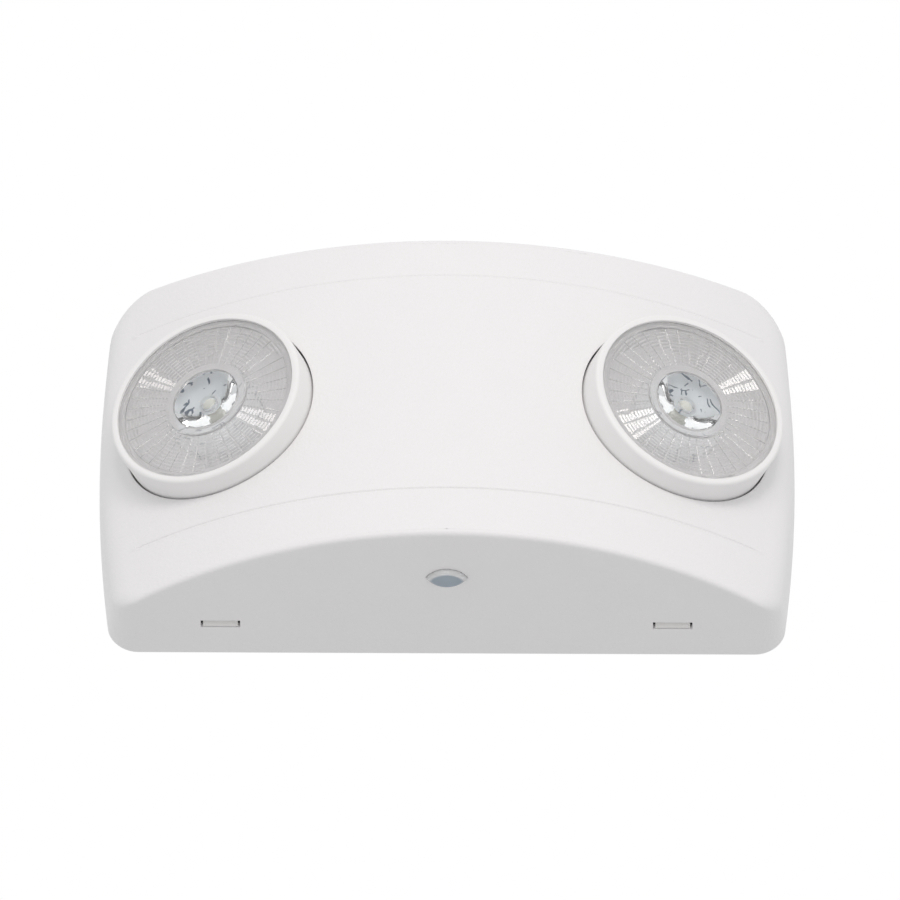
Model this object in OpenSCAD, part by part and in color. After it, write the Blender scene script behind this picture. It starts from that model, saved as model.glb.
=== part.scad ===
// Twin head emergency light for a wall: an arched white housing that snaps on a
// wall plate, with two round lamp heads that turn in the front, a battery pack,
// a charger board and a clear test button in the bottom face.
// X is to the viewer's right, Z is up, the front faces -Y and the wall is Y = 0.
// "Depth" is the distance out from the wall, so it runs along -Y.

/* [Housing] */
// Width of the housing at the wall
body_w = 276; // [262:2:300]
// Height of the housing at the wall
body_h = 159.2; // [152:0.8:184]
// Depth at the middle of the arched front
body_depth = 70.6; // [69:0.2:80]
// Depth that the arch would have at the full width
side_depth = 18.6; // [17:0.2:24]
// Corner radius seen from the front
corner_r = 11.2; // [8:0.4:16]
// How far each side bows out at mid height
side_bow = 4.8; // [0:0.4:6]
// Draft of the left and right sides, in degrees
side_draft = 3.2; // [1:0.2:4]
// Draft of the top and bottom, in degrees
cap_draft = 4.4; // [1:0.2:5]
// Wall thickness of the cover
wall = 2.5; // [2:0.1:3]
// Softness of the front edge along the top and bottom
edge_soft = 2.4; // [1:0.2:4]
// Softness of the front edge along the sides
side_soft = 6; // [3:0.5:8]

/* [Front lines] */
// Height of the upper line above the middle
upper_line = 55.8; // [54:0.2:60]
// Distance of the lower line below the middle
lower_line = 51.1; // [50:0.2:56]
// Half the length of each line
line_reach = 124.4; // [100:0.4:126]
// Width of each line
line_w = 1; // [0.6:0.1:1.4]
// Depth of each line
line_cut = 0.5; // [0.3:0.1:0.8]

/* [Lamp heads] */
// Distance from a lamp's centre to the side of the housing
lamp_edge = 45.5; // [45:0.5:52]
// Height of the lamps above the middle
lamp_z = 3.6; // [0:0.2:5]
// Turn of each lamp away from straight ahead, in degrees
lamp_aim = 24; // [20:1:27]
// Radius of a lamp's drum
drum_r = 40.9; // [38:0.1:41.4]
// Gap between the drum and the edge of its opening
drum_gap = 0.7; // [0.4:0.1:1]
// How far the lip stands out of the arch at the lamp's centre
lip_rise = 9.8; // [8:0.2:12]
// Width of the lip around the lens
lip_w = 3; // [2.4:0.1:3.6]
// Thickness of the lip in front of the lens
lip_t = 1.2; // [1:0.1:1.6]
// Rounding of the lip's outer edge
lip_round = 1.4; // [0.8:0.1:1.8]
// Wall of the drum
drum_wall = 2.2; // [1.8:0.1:2.4]
// Depth of the collar and the drum behind the arch
collar_back = 11; // [10.4:0.2:12]
// Wall of the collar that guides the drum
collar_wall = 2.2; // [1.8:0.1:2.6]
// How far the drum's rear flange stands out
flange_reach = 3.6; // [3:0.1:4]
// Thickness of the drum's rear flange
flange_t = 2; // [1.6:0.1:2.4]
// Turn of each lamp from its middle to its stop, in degrees
lamp_swing = 170; // [90:5:170]

/* [Lens] */
// Thickness of the lens at its rim
lens_t = 2.4; // [2:0.1:3]
// Rings of prisms on the back of the lens
prism_rings = 11; // [6:1:14]
// Flutes around the front of the lens
lens_flutes = 40; // [24:1:48]
// Depth of the prisms
prism_cut = 0.9; // [0.5:0.1:1.2]
// Width and depth of a flute
flute_cut = 0.3; // [0.2:0.05:0.4]
// Radius of the clear optic in the middle
optic_r = 13.8; // [12:0.2:15]
// Width of the plain collar around the optic
optic_collar = 3.6; // [3:0.2:4.4]
// Width of the plain rim outside the prisms
lens_rim = 3; // [2.4:0.2:3.6]

/* [Latches and button] */
// Distance from the middle to each latch slot
latch_x = 89.8; // [80:0.2:100]
// Depth of the latch slots' middle
latch_depth = 16.5; // [15:0.5:18]
// Length of a latch slot
slot_w = 15.6; // [12:0.2:18]
// Width of a latch slot
slot_t = 3.9; // [3.4:0.1:4.4]
// Depth of the test button's middle
button_depth = 44.4; // [42:0.2:47]
// Width of the test button's opening
button_w = 16.8; // [14:0.2:18]
// Depth of the test button's opening, front to back
button_t = 10; // [8:0.2:11]
// How far the button's crown stands below the bottom face
button_crown = 1.9; // [1.2:0.1:2.4]
// Travel of the test button
button_travel = 1.5; // [1:0.1:2]

/* [Wall plate] */
// Thickness of the wall plate
plate_t = 3; // [2.4:0.2:3.6]
// Radius of the wire entry
entry_r = 11.1; // [9:0.1:12]
// Spacing of the wall screws across
screw_span_x = 216; // [200:2:224]
// Spacing of the wall screws up and down
screw_span_z = 116; // [100:2:120]
// Radius of a wall screw's hole
screw_hole_r = 2.3; // [2:0.1:2.6]
// Spacing of the wiring box slots
box_span = 86.1; // [84:0.1:88]
// Length of a wiring box slot
box_slot = 7.4; // [6:0.2:9]

/* [Battery and board] */
// Radius of a battery cell
cell_r = 11.4; // [10:0.2:12]
// Length of a battery cell
cell_len = 42.5; // [38:0.5:44]
// Number of cells in the pack
cells = 3; // [2:1:3]
// Width of the circuit board
board_w = 72; // [66:1:74]
// Height of the circuit board
board_h = 104; // [96:1:108]
// Height of the posts that carry the circuit board
board_lift = 31; // [29:0.5:33]
// Thickness of the circuit board
board_t = 1.6; // [1.2:0.1:2]

/* [Hidden] */
$fn = 96;

// Cuts run this far past what they cut, and pieces that join sink this far in.
over = 1;
// Gap between pieces that are only set side by side
seat_gap = 0.3;
// Gap around a piece that slides or is pushed in place
slide_gap = 0.2;
// Gap around a screw in its pilot hole, and around a plunger in its guide
snug_gap = 0.06;

// The arch of the front is a cylinder about an upright axis.
arch_rise = body_depth - side_depth;
arch_r = (pow(body_w / 2, 2) + pow(arch_rise, 2)) / (2 * arch_rise);
arch_axis_y = arch_r - body_depth;
// Depth of the arch at x, on a skin that lies inset inside the outer one
function arch_depth(x, inset = 0) = sqrt(pow(arch_r - inset, 2) - x * x) - arch_axis_y;

// Stations around the outline: shares of the straight stretches and a normal angle
side_steps = 4;
arc_steps = 6;
top_steps = 12;
quarter = concat(
    [for (i = [0 : side_steps - 1]) [1, i / side_steps, 0]],
    [for (i = [0 : arc_steps]) [1, 1, 90 * i / arc_steps]],
    [for (i = [top_steps - 1 : -1 : 0]) [i / top_steps, 1, 90]]);
last = len(quarter) - 1;
stations = concat(
    [for (i = [0 : last]) quarter[i]],
    [for (i = [last - 1 : -1 : 0]) [-quarter[i][0], quarter[i][1], 180 - quarter[i][2]]],
    [for (i = [1 : last]) [-quarter[i][0], -quarter[i][1], 180 + quarter[i][2]]],
    [for (i = [last - 1 : -1 : 1]) [quarter[i][0], -quarter[i][1], 360 - quarter[i][2]]]);

// Point of the outline at a station, drawn in by its draft at a depth, by an inset all
// round and by the soft edge across and up
function outline_point(s, depth, inset = 0, soft = [0, 0]) =
    let (half_w = body_w / 2 - depth * tan(side_draft) - inset - soft[0],
        half_h = body_h / 2 - depth * tan(cap_draft) - inset - soft[1],
        r = max(corner_r - depth * tan(side_draft) - inset - soft[1], corner_r / 4),
        x = s[0] * (half_w - r) + r * cos(s[2]),
        z = s[1] * (half_h - r) + r * sin(s[2]))
    [x * (1 - side_bow / half_w * pow(z / half_h, 2)), z];

// Depth at which the wall at a station meets the arch, found by stepping closer
function meet_depth(s, inset = 0, depth = 0, steps = 6) = steps == 0 ? depth :
    meet_depth(s, inset, arch_depth(outline_point(s, depth, inset)[0], inset), steps - 1);

function as_point(p, depth) = [p[0], -depth, p[1]];
function softness(s) = edge_soft + (side_soft - edge_soft) * pow(cos(s[2]), 2);

// The three points that shape the soft edge at a station
function edge_frame(s, inset) =
    let (depth = meet_depth(s, inset), back = depth - softness(s),
        front = outline_point(s, depth, inset, [side_soft, edge_soft]))
    [as_point(outline_point(s, back, inset), back),
        as_point(outline_point(s, depth, inset), depth),
        as_point(front, arch_depth(front[0], inset))];
function soft_point(f, t) = pow(1 - t, 2) * f[0] + 2 * t * (1 - t) * f[1] + t * t * f[2];

// Rings of points from the wall side to the arch, sharp or with the soft edge
soft_steps = 4;
function skin_rings(inset, start, soft) = concat(
    [[for (s = stations) as_point(outline_point(s, start, inset), start)]],
    soft ? [for (k = [0 : soft_steps]) [for (s = stations) soft_point(edge_frame(s, inset), k / soft_steps)]]
        : [[for (s = stations) let (depth = meet_depth(s, inset))
            as_point(outline_point(s, depth, inset), depth)]]);

// Solid inside one skin: ruled walls between the rings, and flat strips across the arch
module skin_solid(inset, start, soft) {
    rings = skin_rings(inset, start, soft);
    n = len(stations);
    top = (len(rings) - 1) * n;
    points = [for (ring = rings) each ring];
    walls = [for (k = [0 : len(rings) - 2], i = [0 : n - 1])
        let (a = k * n + i, b = k * n + (i + 1) % n)
        each [[a, b + n, b], [a, a + n, b + n]]];
    strips = [for (i = [1 : n / 2 - 2])
        [top + i, top + n - i, top + n - i - 1, top + i + 1]];
    tips = [[top, top + n - 1, top + 1], [top + n / 2 - 1, top + n / 2 + 1, top + n / 2]];
    polyhedron(points, concat([[for (i = [0 : n - 1]) i]], walls, strips, tips));
}

// A box and an upright-to-the-wall post, given by their depths from the wall
module block(x0, x1, depth0, depth1, z0, z1)
    translate([x0, -depth1, z0]) cube([x1 - x0, depth1 - depth0, z1 - z0]);
module post(x, z, depth0, depth1, r)
    translate([x, -depth0, z]) rotate([90, 0, 0]) cylinder(h = depth1 - depth0, r = r);

// Inner face of the bottom and top walls at a depth, and their outer face
function cap_outer(depth) = body_h / 2 - depth * tan(cap_draft);
function cap_inner(depth) = cap_outer(depth) - wall / cos(cap_draft);

// Places of the lamp heads
lamp_x = body_w / 2 - lamp_edge;
lamp_depth = arch_depth(lamp_x);
hole_r = drum_r + drum_gap;
collar_r = hole_r + collar_wall;
flange_r = drum_r + flange_reach;
flange_front = -collar_back - seat_gap;
flange_back = flange_front - flange_t;
bore_r = drum_r - drum_wall;
lens_r = bore_r - slide_gap;
lens_face = lip_rise - lip_t;
lens_back = lens_face - lens_t;
ring_front = flange_back - seat_gap;
ring_t = 2;
ring_back = ring_front - ring_t;
ring_wall = 4.6;
ring_r = flange_r + ring_wall;
ring_bore = hole_r;
boss_r = 3.6;
boss_ring_r = ring_r + boss_r - over / 2;
boss_angles = [80, 180, 280];
pilot_r = 1.5;
pilot_end = -8;
lug_reach = 1.6;
lug_span = 8;
stop_ease = 0.4;
stop_span = 360 - 2 * (lamp_swing + stop_ease) - lug_span;
stop_gap = 0.4;

// Sets its children at a lamp: local Z is the lamp's axis, outwards, Y is up, and X
// points away from the middle. The left lamp is the right one's mirror image.
module at_lamp(side) {
    mirror([side < 0 ? 1 : 0, 0, 0])
        translate([lamp_x, -lamp_depth, lamp_z])
            rotate([90, 0, lamp_aim])
                children();
}
module tube(r0, r1, z0, z1)
    translate([0, 0, z0]) difference() {
        cylinder(h = z1 - z0, r = r1);
        translate([0, 0, -over]) cylinder(h = z1 - z0 + 2 * over, r = r0);
    }
module disc(r, z0, z1) translate([0, 0, z0]) cylinder(h = z1 - z0, r = r);
module sector(r0, r1, z0, z1, middle, span)
    rotate([0, 0, middle - span / 2])
        rotate_extrude(angle = span)
            translate([r0, z0]) square([r1 - r0, z1 - z0]);

// Outline of the button: two arcs that meet in points at its ends
function eye_r(half_w, half_t) = (half_w * half_w + half_t * half_t) / (2 * half_t);
module eye(half_w, half_t) {
    r = eye_r(half_w, half_t);
    intersection() {
        translate([0, r - half_t]) circle(r = r);
        translate([0, half_t - r]) circle(r = r);
    }
}

// Latches: the slot, and the tongue of the wall plate that shows in it
slot_gap = 0.35;
nose_side = 0.9;
tongue_t = 2;
tongue_tip = 4;
catch_t = 1.8;
catch_reach = 1.5;

// Cover: the arched shell with a collar and bosses behind each lamp, the latch slots,
// the catches inside the top wall, the two lines and the button's opening
module lamp_seats() {
    for (side = [-1, 1]) at_lamp(side) {
        disc(collar_r, -collar_back, lip_rise);
        for (a = boss_angles) rotate([0, 0, a])
            translate([boss_ring_r, 0, 0]) disc(boss_r, ring_front, lip_rise);
        sector(flange_r + stop_gap, boss_ring_r - boss_r, ring_front, lip_rise, 270, stop_span);
    }
}
module inside_arch(inset)
    translate([0, arch_axis_y, -body_h / 2]) cylinder(h = body_h, r = arch_r - inset, $fn = 180);
module lamp_cuts() {
    for (side = [-1, 1]) at_lamp(side) {
        disc(hole_r, ring_front - over, lip_rise + over);
        for (a = boss_angles) rotate([0, 0, a])
            translate([boss_ring_r, 0, 0]) disc(pilot_r, ring_front - over, pilot_end);
    }
}
module front_line(z) {
    intersection() {
        translate([0, arch_axis_y, z - line_w / 2]) difference() {
            cylinder(h = line_w, r = arch_r + over, $fn = 180);
            translate([0, 0, -over]) cylinder(h = line_w + 2 * over, r = arch_r - line_cut, $fn = 180);
        }
        block(-line_reach, line_reach, 0, body_depth + over, z - line_w, z + line_w);
    }
}
module front_cover() color("whitesmoke") {
    difference() {
        union() {
            difference() {
                skin_solid(0, 0, true);
                skin_solid(wall, -over, false);
            }
            intersection() {
                lamp_seats();
                inside_arch(wall / 2);
            }
            for (side = [-1, 1])
                block(side * latch_x - slot_w / 2, side * latch_x + slot_w / 2,
                    latch_depth, latch_depth + catch_t,
                    cap_inner(latch_depth) - catch_reach, cap_inner(latch_depth) + wall / 2);
        }
        lamp_cuts();
        front_line(upper_line);
        front_line(-lower_line);
        for (side = [-1, 1])
            block(side * latch_x - slot_w / 2, side * latch_x + slot_w / 2,
                latch_depth - slot_t / 2, latch_depth + slot_t / 2,
                -body_h / 2 - over, over - cap_inner(latch_depth + slot_t));
        translate([0, -button_depth, -body_h / 2 - over])
            linear_extrude(body_h / 4) eye(button_w / 2, button_t / 2);
    }
}

// Wall plate: a tray with a stiffening rim, posts for the board, cradles for the
// battery, the wire entry, holes for wall screws and slots for a wiring box
plate_gap = 0.4;
rim_h = 6;
rim_t = 1.8;
rim_in = 1;
collar_h = 3;
pad_h = 1.2;
boss_wall = 2.4;
post_r = 3.6;
post_inset = 4;
board_top = plate_t + board_lift;
board_face = board_top + board_t;
cradle_base = 1.5;
cradle_t = 3;
cradle_wall = 2;
pack_len = cells * cell_len;
pack_depth = plate_t + cradle_base + slide_gap + cell_r;
pack_z = -(body_h / 2 - wall - plate_gap - rim_in - rim_t - slide_gap - cradle_wall - cell_r);
cradle_x = pack_len / 2 - cell_len / 2;
post_x = board_w / 2 - post_inset;
post_z0 = pack_z + cell_r + over + post_r;
post_share = 0.144;
board_z0 = post_z0 - post_share * board_h;
board_z1 = board_z0 + board_h;
post_z1 = board_z1 - post_inset;
board_pilot_r = 1.4;
board_pilot = 8;
tongue_end = latch_depth + slot_t / 2 + tongue_tip;
tongue_face = cap_inner(tongue_end) - seat_gap;
hook_face = cap_inner(latch_depth) - catch_reach - seat_gap;
nose_w = slot_w - 2 * nose_side;
nose_t = slot_t - 2 * slot_gap;
nose_end = cap_outer(latch_depth) - seat_gap;
hook_front = latch_depth + catch_t + slide_gap;

module outline(inset) polygon([for (s = stations) outline_point(s, 0, inset)]);
module slab(inset, depth0, depth1)
    translate([0, -depth0, 0]) rotate([90, 0, 0]) linear_extrude(depth1 - depth0) outline(inset);
module box_slot_hole(x) {
    reach = box_slot / 2 - screw_hole_r;
    for (end = [-1, 1]) post(x + end * reach, 0, -over, plate_t + over, screw_hole_r);
    block(x - reach, x + reach, -over, plate_t + over, -screw_hole_r, screw_hole_r);
}
// A profile of [depth, z] points carried across a latch's width
module across(x, w, profile)
    translate([x - w / 2, 0, 0]) rotate([90, 0, 90]) linear_extrude(w)
        polygon([for (p = profile) [-p[0], p[1]]]);
module latch_tongue(x)
    across(x, nose_w, [[plate_t - over, -tongue_face], [latch_depth - nose_t / 2, -tongue_face],
        [latch_depth - nose_t / 2, -nose_end], [latch_depth, -nose_end],
        [latch_depth + nose_t / 2, -tongue_face - tongue_t / 2],
        [latch_depth + nose_t / 2, -tongue_face], [tongue_end, -tongue_face],
        [tongue_end, tongue_t - tongue_face], [plate_t - over, tongue_t - tongue_face]]);
module hook_tongue(x)
    across(x, nose_w, [[plate_t - over, hook_face], [hook_front, hook_face],
        [hook_front, hook_face + catch_reach - slide_gap], [tongue_end, hook_face],
        [tongue_end, hook_face - tongue_t], [plate_t - over, hook_face - tongue_t]]);
module back_plate() color("gainsboro") {
    difference() {
        union() {
            slab(wall + plate_gap, 0, plate_t);
            difference() {
                slab(wall + plate_gap + rim_in, plate_t - over, plate_t + rim_h);
                slab(wall + plate_gap + rim_in + rim_t, plate_t - 2 * over, plate_t + rim_h + over);
            }
            for (x = [-post_x, post_x], z = [post_z0, post_z1]) post(x, z, plate_t - over, board_top, post_r);
            for (x = [-cradle_x, cradle_x])
                block(x - cradle_t / 2, x + cradle_t / 2, plate_t - over, pack_depth,
                    pack_z - cell_r - cradle_wall, pack_z + cell_r + cradle_wall);
            post(0, 0, plate_t - over, plate_t + collar_h, entry_r + boss_wall);
            for (x = [-1, 1], z = [-1, 1])
                post(x * screw_span_x / 2, z * screw_span_z / 2, plate_t - over, plate_t + pad_h,
                    screw_hole_r + boss_wall);
            for (side = [-1, 1]) {
                latch_tongue(side * latch_x);
                hook_tongue(side * latch_x);
            }
        }
        post(0, 0, -over, plate_t + collar_h + over, entry_r);
        for (x = [-1, 1], z = [-1, 1])
            post(x * screw_span_x / 2, z * screw_span_z / 2, -over, plate_t + pad_h + over, screw_hole_r);
        for (side = [-1, 1]) box_slot_hole(side * box_span / 2);
        for (x = [-post_x, post_x], z = [post_z0, post_z1])
            post(x, z, board_top - board_pilot, board_top + over, board_pilot_r);
        translate([-pack_len / 2 - over, -pack_depth, pack_z]) rotate([0, 90, 0])
            cylinder(h = pack_len + 2 * over, r = cell_r + slide_gap);
    }
}

// Battery: round cells end to end in one shrunk sleeve, which draws in at the joints
cell_round = 1.6;
sleeve_neck = 0.6;
end_r = 4;
end_cap = 0.8;
module battery_pack() color("royalblue")
    translate([-pack_len / 2, -pack_depth, pack_z]) rotate([0, 90, 0]) rotate_extrude()
        polygon(concat([[0, -end_cap], [end_r, -end_cap], [end_r, 0]],
            [for (k = [0 : cells - 1]) each [
                [k == 0 ? cell_r - cell_round : cell_r - sleeve_neck, k * cell_len],
                [cell_r, k * cell_len + cell_round],
                [cell_r, (k + 1) * cell_len - cell_round]]],
            [[cell_r - cell_round, pack_len], [end_r, pack_len], [end_r, pack_len + end_cap],
                [0, pack_len + end_cap]]));
// Strap over the pack: a band with two legs down to the wall plate and a foot on one
strap_t = 1;
strap_w = 8;
strap_foot = 5;
strap_x = cell_len / 3;
strap_r = cell_r + slide_gap;
module battery_strap() color("dimgray")
    translate([strap_x - strap_w / 2, 0, 0]) rotate([90, 0, 90]) linear_extrude(strap_w) difference() {
        union() {
            translate([-pack_depth, pack_z]) circle(r = strap_r + strap_t);
            translate([-pack_depth, pack_z - strap_r - strap_t])
                square([pack_depth - plate_t, 2 * (strap_r + strap_t)]);
            translate([-plate_t - strap_t, pack_z + strap_r]) square([strap_t, strap_t + strap_foot]);
        }
        translate([-pack_depth, pack_z]) circle(r = strap_r);
        translate([-pack_depth, pack_z - strap_r]) square([pack_depth, 2 * strap_r]);
    }

// Circuit board and what stands on its front
board_hole_r = 1.7;
screw_head_r = 2.9;
screw_head_t = 1.8;
module circuit_board() color("seagreen") difference() {
    block(-board_w / 2, board_w / 2, board_top, board_face, board_z0, board_z1);
    for (x = [-post_x, post_x], z = [post_z0, post_z1])
        post(x, z, board_top - over, board_face + over, board_hole_r);
}
module board_screws() color("silver")
    for (x = [-post_x, post_x], z = [post_z0, post_z1]) {
        post(x, z, board_face, board_face + screw_head_t, screw_head_r);
        post(x, z, board_top - board_pilot + over, board_face + over / 2, board_pilot_r - snug_gap);
    }

// Lead sockets at the board's edges, the relay beside them, then the transformer. Its
// windows, legs and height are the usual shares of its width, and it reaches to just
// behind the lamp rings and the front.
socket_w = 7;
socket_x = board_w / 2 - over;
relay_w = 12.4;
relay_h = 10;
relay_room = 0.8;
relay_x = socket_x - socket_w - relay_room - relay_w / 2;
core_room = 1.5;
core_w = board_w / 2 - over;
core_h = core_w * 5 / 6;
leg_w = core_w / 3;
window_w = core_w / 6;
window_h = core_w / 2;
trafo_x = relay_x - relay_w / 2 - core_room - core_w / 2;
trafo_z = board_z1 - board_h / 4;
core_edge = core_w / 2 - trafo_x;
ring_plane = lamp_depth + (ring_back + (lamp_x - core_edge) * sin(lamp_aim)) / cos(lamp_aim);
stack_t = min(ring_plane, arch_depth(core_edge, wall)) - core_room - board_face;
core_t = stack_t * 5 / 8;
coil_over = (stack_t - core_t) / 2;
core_front = board_face + coil_over;
module window_cuts(gap, depth0, depth1)
    for (side = [-1, 1])
        block(trafo_x + side * (leg_w + window_w) / 2 - window_w / 2 + gap,
            trafo_x + side * (leg_w + window_w) / 2 + window_w / 2 - gap,
            depth0, depth1, trafo_z - window_h / 2 + gap, trafo_z + window_h / 2 - gap);
module transformer_core() color("slategray") difference() {
    block(trafo_x - core_w / 2, trafo_x + core_w / 2, core_front, core_front + core_t,
        trafo_z - core_h / 2, trafo_z + core_h / 2);
    window_cuts(0, core_front - over, core_front + core_t + over);
}
module transformer_coil() color("goldenrod") difference() {
    block(trafo_x - leg_w / 2 - window_w + slide_gap, trafo_x + leg_w / 2 + window_w - slide_gap,
        board_face, core_front + core_t + coil_over,
        trafo_z - window_h / 2 + slide_gap, trafo_z + window_h / 2 - slide_gap);
    block(trafo_x - leg_w / 2 - slide_gap, trafo_x + leg_w / 2 + slide_gap,
        core_front - slide_gap, core_front + core_t + slide_gap,
        trafo_z - window_h, trafo_z + window_h);
}
relay_t = stack_t / 2;
relay_z = trafo_z + relay_h;
module relay() color("steelblue")
    block(relay_x - relay_w / 2, relay_x + relay_w / 2, board_face, board_face + relay_t,
        relay_z - relay_h / 2, relay_z + relay_h / 2);

// A can capacitor: a crimped can on a flat rubber bung
can_crimp = 0.5;
module can(x, z, r, h)
    translate([x, -board_face, z]) rotate([90, 0, 0]) rotate_extrude()
        polygon([[0, 0], [r - can_crimp, 0], [r, can_crimp], [r, 3 * can_crimp],
            [r - can_crimp, 4 * can_crimp], [r, 5 * can_crimp],
            [r, h - can_crimp], [r - can_crimp, h], [0, h]]);
can_r = 5;
can_h = stack_t * 0.7;
small_can_r = 4;
small_can_h = can_h * 0.6;
module capacitors() color("midnightblue") {
    can(relay_x, relay_z - relay_h / 2 - can_r - over, can_r, can_h);
    can(relay_x, relay_z - relay_h / 2 - 2 * can_r - small_can_r - 3 * over, small_can_r, small_can_h);
    can(trafo_x, trafo_z - core_h / 2 - small_can_r - over, small_can_r, small_can_h);
}
poles = 3;
pole_pitch = 9;
terminal_h = 12;
terminal_t = 13;
terminal_z = board_z0 + board_h / 3;
well_r = 2.3;
well_cut = 6;
module terminal_block() color("forestgreen") difference() {
    block(trafo_x - poles * pole_pitch / 2, trafo_x + poles * pole_pitch / 2,
        board_face, board_face + terminal_t, terminal_z - terminal_h / 2, terminal_z + terminal_h / 2);
    for (k = [0 : poles - 1])
        post(trafo_x + (k - (poles - 1) / 2) * pole_pitch, terminal_z,
            board_face + terminal_t - well_cut, board_face + terminal_t + over, well_r);
}

// Sockets at the board's edge, and the plug that starts each lead
socket_t = 6.4;
socket_h = 8;
plug_w = 5;
lead_r = 1.9;
lamp_socket_z = board_z1 - post_inset - post_r - socket_h;
pack_socket_z = post_z0 + post_r + socket_h;
lead_depth = board_face + socket_t / 2;
module socket(side, z)
    translate([side * (socket_x - socket_w / 2), 0, 0])
        block(-socket_w / 2, socket_w / 2, board_face, board_face + socket_t,
            z - socket_h / 2, z + socket_h / 2);
module lead_sockets() color("ivory") {
    socket(-1, lamp_socket_z);
    socket(1, lamp_socket_z);
    socket(1, pack_socket_z);
}
module plug(z)
    block(socket_x, socket_x + plug_w, lead_depth - lead_r - snug_gap, lead_depth + lead_r + snug_gap,
        z - socket_h / 2 + over, z + socket_h / 2 - over);

// A lead: rings of points along a curve through four control points
lead_sides = 8;
lead_steps = 18;
function curve_point(c, t) = pow(1 - t, 3) * c[0] + 3 * pow(1 - t, 2) * t * c[1]
    + 3 * (1 - t) * t * t * c[2] + pow(t, 3) * c[3];
function curve_slope(c, t) = pow(1 - t, 2) * (c[1] - c[0]) + 2 * (1 - t) * t * (c[2] - c[1])
    + t * t * (c[3] - c[2]);
function unit(v) = v / norm(v);
module lead(c, up) {
    points = [for (k = [0 : lead_steps])
        let (t = k / lead_steps, p = curve_point(c, t), d = unit(curve_slope(c, t)),
            a = unit(cross(d, up)), b = cross(d, a))
        for (i = [0 : lead_sides - 1])
            p + lead_r * (cos(360 * i / lead_sides) * a + sin(360 * i / lead_sides) * b)];
    n = lead_sides;
    walls = [for (k = [0 : lead_steps - 1], i = [0 : n - 1])
        let (p = k * n + i, q = k * n + (i + 1) % n)
        each [[p, q + n, q], [p, p + n, q + n]]];
    polyhedron(points, concat([[for (i = [0 : n - 1]) i]], walls,
        [[for (i = [n - 1 : -1 : 0]) lead_steps * n + i]]));
}
lead_bend = 20;
lamp_bend = 45;
function axis_point(h) =
    [lamp_x + h * sin(lamp_aim), -lamp_depth - h * cos(lamp_aim), lamp_z];
lead_start = socket_x + plug_w;
module lamp_lead() {
    plug(lamp_socket_z);
    lead([[lead_start, -lead_depth, lamp_socket_z],
        [lead_start + lead_bend, -lead_depth, lamp_socket_z],
        axis_point(plug_end - seat_gap - lamp_bend), axis_point(plug_end - seat_gap)], [0, 0, 1]);
}
module right_lamp_lead() color("crimson") lamp_lead();
module left_lamp_lead() color("crimson") mirror([1, 0, 0]) lamp_lead();
module battery_lead() color("black") {
    plug(pack_socket_z);
    lead([[pack_len / 2 + end_cap, -pack_depth, pack_z],
        [pack_len / 2 + end_cap + lead_bend, -pack_depth, pack_z],
        [lead_start + lead_bend, -lead_depth, pack_socket_z],
        [lead_start, -lead_depth, pack_socket_z]], [0, 1, 0]);
}

// Test switch, the lamp that shows through the button, and the button
switch_w = 13;
switch_h = 8;
switch_over = 6;
guide_r = 1.9;
guide_depth = 5;
led_r = 1.5;
led_len = 4;
led_x = 4.8;
stem_r = 2.1;
flange_over = 1.4;
button_flange_t = 1.2;
switch_z = board_z0 + over;
module test_switch() color("dimgray") difference() {
    block(-switch_w / 2, switch_w / 2, board_face, button_depth + switch_over, switch_z, switch_z + switch_h);
    translate([0, -button_depth, switch_z - over]) cylinder(h = guide_depth + over, r = guide_r);
}
module status_led() color("limegreen")
    translate([led_x, -button_depth, switch_z - led_len]) {
        cylinder(h = led_len, r = led_r);
        sphere(r = led_r);
    }
button_bottom = -cap_outer(button_depth) - button_crown;
button_half_w = button_w / 2 - seat_gap;
button_half_t = button_t / 2 - seat_gap;
crown_r = (pow(button_half_w, 2) + pow(button_crown, 2)) / (2 * button_crown);
button_seat = -cap_inner(button_depth + button_half_t + flange_over) + seat_gap;
stem_top = switch_z - button_travel - seat_gap;
tip_top = switch_z + guide_depth - button_travel - seat_gap;
module test_button() color([0.72, 0.78, 0.84, 0.6])
    translate([0, -button_depth, 0]) {
        intersection() {
            translate([0, 0, button_bottom]) linear_extrude(button_seat + over / 2 - button_bottom)
                eye(button_half_w, button_half_t);
            translate([0, 0, button_bottom + crown_r]) sphere(r = crown_r, $fn = 120);
        }
        translate([0, 0, button_seat]) linear_extrude(button_flange_t)
            eye(button_half_w + flange_over, button_half_t + flange_over);
        translate([0, 0, button_seat]) cylinder(h = stem_top - button_seat, r = stem_r);
        translate([0, 0, button_seat]) cylinder(h = tip_top - button_seat, r = guide_r - snug_gap);
    }

// Lamp head: the drum with its rounded lip, rear flange and stop lug
lip_steps = 6;
module lamp_shell(side) color("white") at_lamp(side) {
    rotate_extrude() polygon(concat(
        [[bore_r, flange_back], [flange_r, flange_back], [flange_r, flange_front], [drum_r, flange_front]],
        [for (k = [0 : lip_steps]) [drum_r - lip_round + lip_round * cos(90 * k / lip_steps),
            lip_rise - lip_round + lip_round * sin(90 * k / lip_steps)]],
        [[drum_r - lip_w, lip_rise], [drum_r - lip_w, lens_face], [bore_r, lens_face]]));
    sector(flange_r - over, flange_r + lug_reach, flange_back, flange_front, 90, lug_span);
}

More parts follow.
